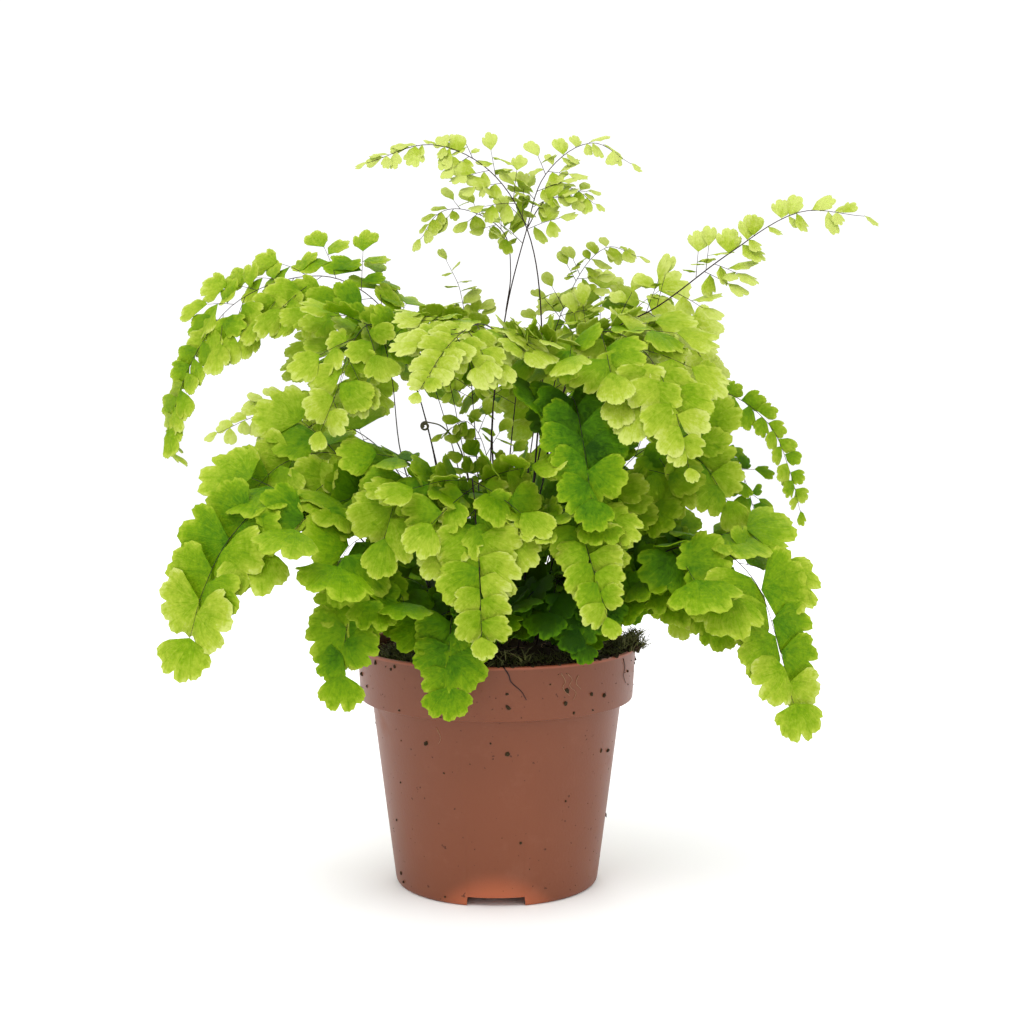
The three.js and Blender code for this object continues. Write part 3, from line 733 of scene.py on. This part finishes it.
def spinFan(bm, spread):
    line = [bm.verts.new((reach, 0, 0)) for reach in leaflet["rings"]]
    edges = [bm.edges.new(pair) for pair in zip(line, line[1:])]
    bmesh.ops.rotate(bm, verts=line, cent=(0, 0, 0), matrix=Matrix.Rotation(-spread / 2, 3, "Z"))
    bmesh.ops.spin(bm, geom=line + edges, cent=(0, 0, 0), axis=(0, 0, 1), angle=spread,
                   steps=leaflet["steps"], use_merge=False)
    bmesh.ops.remove_doubles(bm, verts=bm.verts, dist=1e-5)


def placeInFan(corner, spread):
    reach = corner.co.length
    across = math.atan2(corner.co.y, corner.co.x) / (spread / 2) if reach > 0.1 else 0.0
    return across, reach


def mapFan(bm, mapLayer, places):
    for face in bm.faces:
        outer = [places[corner][0] for corner in face.verts if places[corner][1] > 0.1]
        middle = sum(outer) / len(outer)
        for loop in face.loops:
            across, reach = places[loop.vert]
            loop[mapLayer].uv = ((middle if reach < 0.1 else across) / 2 + 0.5, reach)


def shapeCorner(corner, across, reach, kind):
    isMargin = reach > 0.9
    scale = marginReach(kind, across) if isMargin else sideReach(kind, across)
    if isMargin and stepAt(across) % 2:
        scale -= leaflet["tooth"]
    corner.co *= scale
    if isInner(reach):
        corner.co.y *= leaflet["bulge"]
    wave = kind.wave * math.sin(3 * math.pi * across + kind.spread)
    cup = kind.cup * (0.25 - (reach - 0.5) ** 2 - 0.35 * (across * reach) ** 2)
    corner.co.z = cup + wave * reach


def isSpareSpoke(edge, places):
    (acrossA, reachA), (acrossB, reachB) = (places[corner] for corner in edge.verts)
    if abs(reachA - reachB) < 0.1:
        return False
    across = acrossA if reachA > reachB else acrossB
    return stepAt(across) % leaflet["spokeEvery"] != 0


def makeLeaflet(name, kind):
    bm = bmesh.new()
    mapLayer = bm.loops.layers.uv.new("leaf")
    bm.verts.layers.float.new("tone")
    spread = math.radians(kind.spread)
    spinFan(bm, spread)
    places = {corner: placeInFan(corner, spread) for corner in bm.verts}
    mapFan(bm, mapLayer, places)
    for corner, (across, reach) in places.items():
        shapeCorner(corner, across, reach, kind)
    spokes = [edge for edge in bm.edges if isSpareSpoke(edge, places)]
    bmesh.ops.dissolve_edges(bm, edges=spokes, use_verts=False)
    spare = [corner for corner, (across, reach) in places.items()
             if isInner(reach) and len(corner.link_edges) == 2 and not corner.is_boundary]
    bmesh.ops.dissolve_verts(bm, verts=spare)
    bmesh.ops.recalc_face_normals(bm, faces=bm.faces)
    if sum(face.normal.z for face in bm.faces) < 0:
        bmesh.ops.reverse_faces(bm, faces=bm.faces)
    bmesh.ops.solidify(bm, geom=bm.faces, thickness=leaflet["thickness"])
    shadeSmooth(bm, 60)
    return makeMesh(name, bm)


leafletMeshes = {group: [makeLeaflet(f"{group}{i}", kind) for i, kind in enumerate(kinds)]
                 for group, kinds in leafletKinds.items()}


print("scene: fronds")

# Each frond's settings, with lengths in mm and the angle in degrees:
# way: its knots from the soil to its tip, and root: how deep it stands below them
# face: where its plane looks, and light: where its leaflets turn to, by the share turn
# kind, leaf, angle, hang: the form and size of its leaflets, and how they stand out and droop
# reach, twigLeaf: its longest side branch, and the leaflets there as a share of the others
# bare, branched: the share of the way without leaflets, and of the rest that has side branches
# bunches, scarce, uneven, taper: how leaflets gather, how far apart and how uneven they are,
# and how much smaller they are at the tip
# stalk, rib: the radius of its stalk at the foot, and how soon it thins
# tone: 0 is deep green and 1 is yellow-green; besides the frond's own colour it holds painted shade,
# low on fronds deep inside and low down, and painted light, high on the tall fronds on top
front, frontUp, backUp = (0, -0.85, 0.52), (0, -0.72, 0.69), (0, 0.6, 0.8)
frontLeft, frontRight = (-0.25, -0.82, 0.5), (0.25, -0.82, 0.5)
level, facing = (0, -0.38, 0.92), (0, -0.94, 0.34)
usual = dict(face=frontUp, kind="narrow", turn=0.6, angle=58, hang=0.22, twigLeaf=1, branched=0.66,
    bunches=40, scarce=1, uneven=0.12, taper=0.2, stalk=0.58, rib=1.5, root=8)
tall = dict(face=front, light=level, turn=0.9, hang=0.5, kind="wedge", leaf=9, reach=18, bare=0.7,
    branched=0.5, bunches=3, scarce=1.2, uneven=0.34, taper=0.35, rib=0.75, tone=0.86)
lowSide = dict(kind="broad", angle=76, leaf=22, reach=34, bare=0.42, branched=0.5)
centre = dict(light=facing, turn=0.75, angle=60, scarce=0.74, uneven=0.2)
back = dict(face=backUp, leaf=18, reach=36, bare=0.5, tone=0.5)
backLow = dict(face=backUp, leaf=20, reach=30, bare=0.42, tone=0.4)
fronds = {
    "tall_left": dict(tall, way=((10, 6, 100), (14, 6, 150), (18, 5, 200), (19, 4, 245), (13, 0, 280),
        (-3, -5, 304), (-27, -10, 314), (-53, -15, 306))),
    "tall_right": dict(tall, way=((3, 11, 100), (1, 11, 150), (-2, 10, 195), (4, 9, 245), (13, 11, 281),
        (21, 11, 304), (40, 9, 317), (57, 6, 308))),
    "right_high": dict(tall, face=frontRight, hang=0.4, leaf=10, reach=22, bare=0.46, branched=0.6,
        scarce=1.3, uneven=0.32, taper=0.3, tone=0.76, way=((13, 0, 100), (17, -2, 150), (25, -6, 200),
        (39, -12, 231), (67, -20, 247), (95, -28, 268), (122, -36, 284), (147, -42, 282))),
    "left_arch": dict(face=frontLeft, turn=0.5, kind="wedge", leaf=15.8, reach=32, bare=0.42, scarce=0.86,
        uneven=0.18, taper=0.1, tone=0.47, way=((-10, 4, 100), (-18, 4, 140), (-26, 3, 181), (-37, 5, 221),
        (-50, 8, 248), (-76, 14, 261), (-112, 20, 251), (-133, 20, 225), (-146, 20, 188))),
    "left_mid": dict(face=frontLeft, angle=64, leaf=17, twigLeaf=0.9, reach=25, bare=0.62, scarce=1.35,
        taper=0.5, tone=0.5, way=((-14, -3, 100), (-26, -5, 140), (-40, -10, 184), (-44, -18, 221),
        (-50, -28, 239), (-58, -40, 231), (-63, -49, 213), (-69, -55, 197))),
    "low_left": dict(lowSide, face=frontLeft, taper=0.22, tone=0.38, way=((-15, -12, 100), (-27, -23, 120),
        (-42, -35, 137), (-60, -48, 158), (-86, -62, 170), (-103, -70, 156), (-113, -75, 136),
        (-118, -77, 118))),
    "left_rim": dict(lowSide, angle=72, leaf=18, reach=24, branched=0.45, tone=0.24, way=((-8, -17, 100),
        (-22, -34, 118), (-38, -48, 131), (-49, -59, 138), (-55, -69, 132), (-58, -75, 118),
        (-59, -78, 104))),
    "left_shade": dict(face=frontLeft, hang=0.4, kind="broad", leaf=21, reach=34, bare=0.5, tone=0.44,
        way=((-18, -7, 100), (-31, -13, 135), (-42, -19, 162), (-54, -25, 181), (-70, -31, 187),
        (-88, -37, 182), (-101, -42, 168))),
    "top_front": dict(turn=0.45, leaf=12, reach=38, bare=0.56, scarce=0.9, taper=0.5, tone=0.65,
        way=((-2, -6, 100), (-3, -9, 145), (-2, -14, 195), (0, -27, 232), (-6, -52, 239), (-17, -79, 231),
        (-28, -100, 213))),
    "top_right": dict(leaf=18, reach=38, bare=0.5, taper=0.66, tone=0.55, way=((6, -7, 100),
        (12, -12, 150), (22, -20, 205), (30, -32, 230), (46, -48, 236), (60, -63, 226), (69, -75, 206),
        (74, -82, 184))),
    "top_back": dict(face=frontRight, leaf=17, reach=34, bare=0.5, tone=0.66, way=((14, 8, 100),
        (20, 12, 150), (28, 17, 207), (42, 24, 238), (63, 30, 245), (86, 31, 232), (99, 27, 208))),
    "right_arch": dict(face=frontRight, kind="wedge", leaf=12, reach=14, bare=0.48, branched=0.4,
        scarce=1.1, uneven=0.2, taper=0.45, tone=0.38, way=((18, 2, 100), (29, 6, 150), (46, 10, 193),
        (71, 13, 210), (98, 14, 211), (118, 11, 197), (127, 7, 176), (131, 5, 160))),
    "centre_shade": dict(light=facing, turn=0.8, angle=70, kind="broad", leaf=18.5, reach=14, bare=0.64,
        branched=0.2, scarce=0.85, taper=0.3, tone=0.1, way=((9, -14, 100), (14, -21, 150), (22, -31, 185),
        (28, -46, 208), (31, -60, 209), (34, -71, 194), (37, -78, 172))),
    "centre_right": dict(centre, leaf=19, twigLeaf=0.8, reach=32, bare=0.42, branched=0.45, taper=0.54,
        tone=0.38, way=((16, -17, 100), (20, -29, 125), (25, -44, 152), (29, -59, 167), (33, -71, 160),
        (38, -79, 144), (43, -84, 127))),
    "centre_front": dict(centre, leaf=20, twigLeaf=0.78, reach=36, bare=0.44, branched=0.5, taper=0.56,
        tone=0.46, way=((-2, -19, 100), (-5, -31, 130), (-8, -46, 160), (-9, -61, 178), (-8, -74, 172),
        (-6, -84, 148), (-5, -89, 120))),
    "front_rim": dict(light=facing, angle=62, kind="broad", leaf=16.5, reach=18, bare=0.5, branched=0.3,
        tone=0.16, way=((-9, -25, 100), (-13, -38, 116), (-15, -51, 126), (-17, -62, 124), (-18, -69, 113),
        (-18, -72, 98))),
    "centre_low": dict(kind="broad", leaf=13, reach=26, bare=0.36, taper=0.35, tone=-0.15,
        way=((8, -25, 100), (12, -34, 119), (18, -44, 133), (25, -54, 137), (31, -62, 128),
        (34, -67, 114))),
    "right_low": dict(lowSide, face=frontRight, leaf=21.5, reach=30, taper=0.3, tone=0.36,
        way=((20, -12, 100), (35, -26, 118), (52, -38, 134), (70, -50, 149), (87, -60, 151),
        (102, -67, 138), (110, -72, 116), (116, -76, 92))),
    "right_inner": dict(light=facing, turn=0.75, kind="broad", leaf=18, twigLeaf=0.88, reach=30, bare=0.4,
        tone=0.24, way=((22, -6, 100), (35, -16, 121), (49, -26, 138), (64, -35, 147), (78, -43, 140),
        (87, -50, 122))),
    "right_mid": dict(face=frontRight, light=facing, leaf=18, reach=34, bare=0.45, tone=0.34,
        way=((14, -9, 100), (29, -12, 140), (46, -17, 170), (64, -24, 189), (82, -32, 185),
        (94, -38, 168))),
    "right_thin": dict(face=frontRight, kind="wedge", leaf=10, reach=12, bare=0.6, scarce=1.2, taper=0.3,
        tone=0.26, way=((22, 7, 100), (45, 9, 135), (66, 11, 158), (88, 12, 177), (103, 10, 179),
        (111, 8, 162), (115, 6, 144))),
    "mid_left": dict(light=facing, angle=64, leaf=20, twigLeaf=0.85, reach=32, bare=0.46, tone=0.3,
        way=((-8, -10, 100), (-14, -19, 140), (-20, -33, 168), (-29, -49, 183), (-37, -63, 175),
        (-43, -72, 156))),
    "back_left": dict(back, way=((-13, 17, 100), (-22, 24, 150), (-34, 38, 205), (-50, 60, 234),
        (-68, 82, 228), (-79, 98, 203), (-85, 106, 176))),
    "back_mid": dict(back, tone=0.55, way=((1, 18, 100), (3, 27, 150), (8, 42, 205), (12, 61, 233),
        (15, 81, 231), (18, 97, 211), (20, 105, 184))),
    "back_right": dict(back, way=((12, 16, 100), (20, 25, 150), (33, 40, 205), (50, 58, 233),
        (69, 77, 227), (82, 91, 203), (89, 99, 177))),
    "back_low_left": dict(backLow, reach=28, way=((-8, 24, 100), (-22, 36, 116), (-38, 53, 129),
        (-52, 70, 129), (-62, 83, 112), (-67, 90, 90))),
    "back_low_right": dict(backLow, tone=0.42, way=((17, 22, 100), (30, 38, 120), (47, 57, 139),
        (64, 75, 143), (78, 88, 127), (87, 97, 103))),
    "back_low_mid": dict(backLow, way=((4, 26, 100), (3, 42, 122), (1, 62, 140), (0, 80, 138),
        (-1, 95, 120), (-2, 103, 97))),
}

# Fronds that are only in the scene: short ones low in the shade of the others, with low tones as
# painted shade, some of middle height behind, and thin young ones
shade = dict(leaf=17, reach=24, bare=0.3, tone=0.08)
behind = dict(face=backUp, leaf=17, reach=30, bare=0.4, tone=0.3)
young = dict(face=front, light=level, turn=0.8, hang=0.45, kind="plain", leaf=8, reach=17, bare=0.6,
    bunches=3, scarce=1.2, uneven=0.3, taper=0.3, stalk=0.4, rib=0.9, tone=0.74)
offshoot = dict(young, bare=0.35, stalk=0.26, root=0.5)
sceneFronds = {
    "inner_left": dict(shade, way=((-10, -8, 100), (-24, -14, 122), (-38, -20, 134), (-50, -26, 128))),
    "inner_front_left": dict(shade, way=((-7, -14, 100), (-14, -26, 122), (-25, -38, 132),
        (-36, -47, 124))),
    "inner_front": dict(shade, tone=-0.1, way=((2, -16, 100), (3, -30, 124), (2, -44, 134),
        (0, -55, 124))),
    "inner_front_right": dict(shade, tone=-0.1, way=((10, -15, 100), (17, -27, 122), (24, -40, 132),
        (31, -50, 122))),
    "inner_right": dict(shade, way=((16, -8, 100), (30, -15, 124), (44, -22, 136), (56, -28, 130))),
    "inner_back_right": dict(shade, way=((14, 6, 100), (28, 8, 126), (44, 10, 142), (58, 10, 138))),
    "inner_back": dict(shade, way=((-2, 8, 100), (-10, 14, 128), (-20, 20, 146), (-32, 26, 144))),
    "inner_middle": dict(shade, way=((5, -2, 100), (8, -8, 130), (14, -18, 152), (20, -28, 158))),
    "gap_left": dict(young, leaf=8, tone=0.5, bare=0.6, way=((3, -2, 100), (1, -6, 150), (-4, -10, 184),
        (-12, -14, 199), (-22, -17, 194))),
    "gap_middle": dict(young, bare=0.84, reach=10, way=((-3, 2, 100), (-8, 2, 150), (-15, 1, 190),
        (-22, -2, 222), (-30, -6, 236))),
    "gap_back": dict(young, bare=0.84, reach=10, way=((-6, 8, 100), (-11, 10, 150), (-20, 12, 190),
        (-32, 16, 225), (-42, 20, 238))),
    "gap_right": dict(shade, leaf=14, tone=0.2, bare=0.5, way=((9, -4, 100), (14, -6, 140), (20, -10, 162),
        (26, -18, 168), (32, -26, 160))),
    "mid_back_left": dict(behind, way=((-8, 14, 100), (-20, 32, 138), (-34, 52, 158), (-46, 70, 152),
        (-54, 84, 134))),
    "mid_back": dict(behind, way=((4, 16, 100), (6, 38, 146), (8, 60, 172), (9, 78, 168), (10, 92, 150))),
    "mid_back_right": dict(behind, way=((14, 12, 100), (26, 30, 146), (42, 48, 172), (58, 64, 168),
        (68, 76, 148))),
    "thin_middle_left": dict(offshoot, leaf=8.5, reach=9, way=((4, 9, 246), (6, 8, 262),
        (3, 6, 279), (-12, 3, 288), (-24, 2, 287), (-32, 1, 276))),
    "thin_middle_right": dict(offshoot, leaf=7, reach=8, way=((13, 11, 281), (20, 9, 292),
        (31, 8, 298), (42, 7, 291))),
    "thin_back_right": dict(young, way=((8, 14, 100), (13, 18, 170), (22, 22, 225), (34, 26, 258),
        (48, 28, 274), (62, 28, 270))),
    "thin_back_left": dict(young, way=((-4, 10, 100), (-8, 14, 170), (-12, 18, 225), (-16, 20, 255),
        (-22, 20, 268))),
    "thin_left": dict(young, leaf=9, way=((-16, 0, 100), (-30, 0, 150), (-48, 0, 185), (-72, -2, 200),
        (-98, -4, 202), (-118, -6, 194))),
}

# What all fronds share. Lengths are in mm and angles in degrees, but strays, endTwist and
# unevenTwist are in radians.
growth = {
    "tipRadius": 0.09, "firstBranch": 3, "branchSpacing": 0.42, "branchTaper": 0.6,
    "branchAngle": 50, "branchStray": 0.12, "branchHang": 0.15, "branchSag": 4.5,
    "branchRadius": 0.15, "twigTip": 0.1, "firstLeaf": 0.22, "leafStretch": 0.74,
    "leafSpacing": 0.42, "tipSpacing": 0.28, "tipMargin": 2, "bunching": 0.92,
    "leafScale": 1.08, "widthRange": (0.92, 1.12), "leafStray": 0.2, "hangRange": (0.5, 1.5),
    "leafTwist": 15, "twistRange": (0.4, 1.6), "unevenTwist": 2, "sideSize": 0.96,
    "firstSize": 0.82, "sizeFall": 0.08, "endSize": 0.95, "endHang": 0.11, "endTwist": 0.15,
    "leafLift": 0.4, "footstalk": 0.02, "footstalkRadii": (0.13, 0.1),
    "tipTone": 0.16, "toneSpread": 0.26,
}
# Tried one after another, until a leaflet is clear
bends = [math.radians(bend) for bend in (0, 14, -14, 28, -28, 42, 56, -42, -60)]
# Places on a leaflet, out from its stalk and aside, that have to be clear
feelers = ((1, 0), (0.95, 0.35), (0.95, -0.35), (0.66, 0.6), (0.66, -0.6), (0.4, 0))
# In mm, from the sides of the frame's box, and from the pot and the soil
clearance = {"box": 0.5, "pot": 1.5}


def frameAt(point, along, leftwards):
    # X runs along, Y to the left, Z out of the upper face
    ahead = along.normalized()
    normal = ahead.cross(leftwards).normalized()
    frame = Matrix((ahead, normal.cross(ahead), normal)).transposed().to_4x4()
    frame.translation = point
    return frame


def turnFrame(place, angle, hang, light=None, share=0.0):
    # Turned aside in the plane of the frond, hanging a little, its upper face towards the light
    along, side, normal = (place.col[i].xyz for i in range(3))
    heading = (along * math.cos(angle) + side * math.sin(angle) + down * hang).normalized()
    if light:
        normal = normal.lerp(light, share)
    return frameAt(place.translation, heading, normal.cross(heading))


def isFree(place, size):
    # Clear of the pot and the soil, and inside the frame's box
    edge, gap = clearance["box"] * mm, clearance["pot"]
    for out, aside in feelers:
        spot = place @ Vector((out * size, aside * size, 0))
        if not all(low + edge < value < high - edge
                   for low, value, high in zip(cadLow, spot, cadHigh)):
            return False
        x, y, z = spot / mm
        if math.hypot(x, y) < pot["rim"] + gap and z < max(pot["height"], soilHeight(x, y)) + gap:
            return False
    return True


class Growth:
    # A frond while it grows: its path, and the stems and leaflets that it has so far
    def __init__(self, settings, seed):
        frond = {**usual, **settings}
        self.frond = frond
        self.seed = seed
        self.rng = random.Random(seed)
        self.light = Vector(frond.get("light", frond["face"]))
        self.meshes = leafletMeshes[frond["kind"]]
        self.leaf = frond["leaf"] * growth["leafScale"]
        self.leaves = bmesh.new()
        self.leaves.loops.layers.uv.new("leaf")
        self.toneLayer = self.leaves.verts.layers.float.new("tone")
        self.count = 0
        knots = [Vector(point) * mm for point in frond["way"]]
        depth = frond["root"] * mm
        self.path = Path([knots[0] + (knots[0] - knots[1]).normalized() * depth] + knots)
        radii = taper(self.path, frond["stalk"], growth["tipRadius"], frond["rib"])
        self.stems = [(self.path.points, radii)]
        self.bare = frond["bare"] * self.path.length
        blade = self.path.length - self.bare
        self.zone = frond["branched"] * blade
        self.tipZone = blade - self.zone
        first, last = self.path.walk(self.bare)[0], self.path.walk(self.path.length)[0]
        self.leftwards = Vector(frond["face"]).cross(last - first).normalized()

    def frameAlong(self, distance):
        return frameAt(*self.path.walk(distance), self.leftwards)

    def addLeaflet(self, matrix, size, tone):
        mesh = self.rng.choice(self.meshes)
        before = len(self.leaves.verts)
        self.leaves.from_mesh(mesh)
        self.leaves.verts.ensure_lookup_table()
        corners = self.leaves.verts[before:]
        squeeze = Matrix.Diagonal((size, size * self.rng.uniform(*growth["widthRange"]), size, 1))
        bmesh.ops.transform(self.leaves, matrix=matrix @ squeeze, verts=corners)
        for corner in corners:
            corner[self.toneLayer] = tone
        self.count += 1


def growLeaflet(plant, place, angle, hang, twist, size, tone):
    # Grows one leaflet on its own short stalk, and says whether it found room
    turned = turnFrame(place, angle, hang, plant.light, plant.frond["turn"])
    flat = turned @ Matrix.Rotation(twist, 4, "X")
    for bend in bends:
        bent = flat @ Matrix.Rotation(-bend, 4, "Y")
        if isFree(bent, size):
            base = bent.translation.copy()
            stalk = bent @ Vector((growth["footstalk"] * size, 0, growth["leafLift"] * mm))
            plant.stems.append(([base, stalk], [radius * mm for radius in growth["footstalkRadii"]]))
            bent.translation = stalk
            plant.addLeaflet(bent, size * (1 - growth["footstalk"]), tone)
            return True
    return False


def growSideLeaflet(plant, place, side, size, tone):
    rng, frond = plant.rng, plant.frond
    stray, uneven = growth["leafStray"], frond["uneven"]
    angle = side * (math.radians(frond["angle"]) + rng.uniform(-stray, stray))
    hang = frond["hang"] * rng.uniform(*growth["hangRange"])
    twist = side * math.radians(growth["leafTwist"]) * rng.uniform(*growth["twistRange"])
    most = growth["unevenTwist"]
    twist += rng.uniform(-most, most) * (uneven - usual["uneven"])
    tone += rng.uniform(-0.5, 0.5) * growth["toneSpread"]
    size *= rng.uniform(growth["sideSize"] - uneven, growth["sideSize"] + uneven)
    return growLeaflet(plant, place, angle, hang, twist, size * mm, tone)


def sideOf(number):
    return -1 if number % 2 else 1


def growBranch(plant, place, side, reach, leaf, tone):
    rng, stray = plant.rng, growth["branchStray"]
    angle = side * (math.radians(growth["branchAngle"]) + rng.uniform(-stray, stray))
    start = turnFrame(place, angle, growth["branchHang"])
    start = start @ Matrix.Rotation(rng.uniform(-stray, stray), 4, "Y")
    base = start.translation
    half = start @ Vector((reach / 2 * mm, 0, 0))
    tip = start @ Vector((reach * mm, 0, 0)) + down * growth["branchSag"] * (reach * mm) ** 2
    # The middle sags by an eighth of the tip's sag
    path = Path([base, half * 0.75 + (base + tip) * 0.125, tip], 5)
    gap = growth["leafSpacing"] * leaf
    count = max(1, round((reach - 0.5 * gap) / gap))
    leftwards = start.col[1].xyz
    used = 0.0
    for i in range(count):
        share = growth["firstLeaf"] + growth["leafStretch"] * i / count
        bud = frameAt(*path.walk(share * path.length), leftwards)
        size = leaf * (growth["firstSize"] if i == 0 else 1 - growth["sizeFall"] * i / count)
        budTone = tone + growth["tipTone"] * share * 0.5
        if growSideLeaflet(plant, bud, side * sideOf(i), size, budTone):
            used = share
    end = frameAt(*path.walk(path.length), leftwards)
    twist = rng.uniform(-growth["endTwist"], growth["endTwist"])
    size = growth["endSize"] * leaf * mm
    if growLeaflet(plant, end, 0, growth["endHang"], twist, size, tone + growth["tipTone"]):
        used = 1.0
    # The stem ends at its last leaflet
    radii = taper(path, growth["branchRadius"], growth["twigTip"])
    kept = [i for i, reached in enumerate(path.distances) if reached <= used * path.length + 1e-7]
    if len(kept) > 1:
        plant.stems.append(([path.points[i] for i in kept], [radii[i] for i in kept]))


def bunched(share, bunches):
    # Places from 0 to 1 drawn together into bunches, with bare stretches between them
    turns = 2 * math.pi * bunches
    return share + growth["bunching"] * math.sin(turns * share) / turns


def growBranches(plant):
    frond, leaf = plant.frond, plant.leaf * plant.frond["twigLeaf"]
    count = round(plant.zone / mm / (growth["branchSpacing"] * leaf * frond["scarce"]))
    for i in range(count):
        share = bunched(i / count, frond["bunches"])
        place = plant.frameAlong(plant.bare + growth["firstBranch"] * mm + plant.zone * share)
        reach = frond["reach"] * (1 - growth["branchTaper"] * share)
        tone = frond["tone"] + growth["tipTone"] * (share - 0.5)
        growBranch(plant, place, sideOf(i + plant.seed), reach, leaf, tone)
    return count


def growTip(plant, branches):
    # Leaflets on the rib itself, beyond the last branch, and one at its end
    frond, leaf = plant.frond, plant.leaf
    count = round(plant.tipZone / mm / (growth["tipSpacing"] * leaf * frond["scarce"]))
    for i in range(count):
        share = bunched(i / count, frond["bunches"])
        distance = plant.bare + plant.zone + (plant.tipZone - growth["tipMargin"] * mm) * share
        tone = frond["tone"] + growth["tipTone"] * (0.5 + share)
        growSideLeaflet(plant, plant.frameAlong(distance), sideOf(i + branches + plant.seed),
                        leaf * (1 - frond["taper"] * share ** 2), tone)
    growLeaflet(plant, plant.frameAlong(plant.path.length), 0, growth["endHang"], 0,
                (1 - frond["taper"]) * leaf * mm, frond["tone"] + 1.5 * growth["tipTone"])


def growFrond(name, settings, seed, solid=True):
    plant = Growth(settings, seed)
    branches = growBranches(plant)
    growTip(plant, branches)
    stalks, blades = (["stalk_" + name], ["blade_" + name]) if solid else ([], [])
    addStems("stems_" + name, plant.stems, stemFinish, stalks)
    addPiece("leaves_" + name, plant.leaves, leafFinish, blades)
    return plant.count


leafCount = sum(growFrond(name, frond, i + 1) for i, (name, frond) in enumerate(fronds.items()))
leafCount += sum(growFrond(name, frond, i + 71, solid=False)
                 for i, (name, frond) in enumerate(sceneFronds.items()))
print("scene: leaflets grown:", leafCount)


print("scene: young frond")

# In mm. The stalk's radii are those at its foot and where the coil begins, and the coil swells
# towards its middle. Shift is how far it moves aside in a turn.
crozier = {
    "way": ((-4, 1, 100), (-8, -3, 140), (-12, -7, 174), (-16, -10, 189), (-23, -11, 197),
            (-30, -11, 199)),
    "stalk": (0.4, 0.3), "turns": 1.35, "radius": 1.9, "tightness": 0.6, "shift": 1.32,
    "swelling": 0.4, "turnSteps": 16,
}


def makeCrozier():
    knots = [Vector(point) * mm for point in crozier["way"]]
    root = knots[0] + (knots[0] - knots[1]).normalized() * usual["root"] * mm
    stalk = Path([root] + knots)
    points = list(stalk.points)
    radii = taper(stalk, *crozier["stalk"])
    centre = points[-1] + down * crozier["radius"] * mm
    steps = round(crozier["turns"] * crozier["turnSteps"])
    for i in range(1, steps + 1):
        angle = 2 * math.pi * i / crozier["turnSteps"]
        radius = crozier["radius"] * (1 - crozier["tightness"] * i / steps)
        shift = crozier["shift"] * i / crozier["turnSteps"]
        offset = Vector((-radius * math.sin(angle), -shift, radius * math.cos(angle)))
        points.append(centre + offset * mm)
        radii.append((crozier["stalk"][1] + crozier["swelling"] * i / steps) * mm)
    addStems("crozierCoil", [(points, radii)], crozierFinish, ["crozier"], sides=3)


makeCrozier()
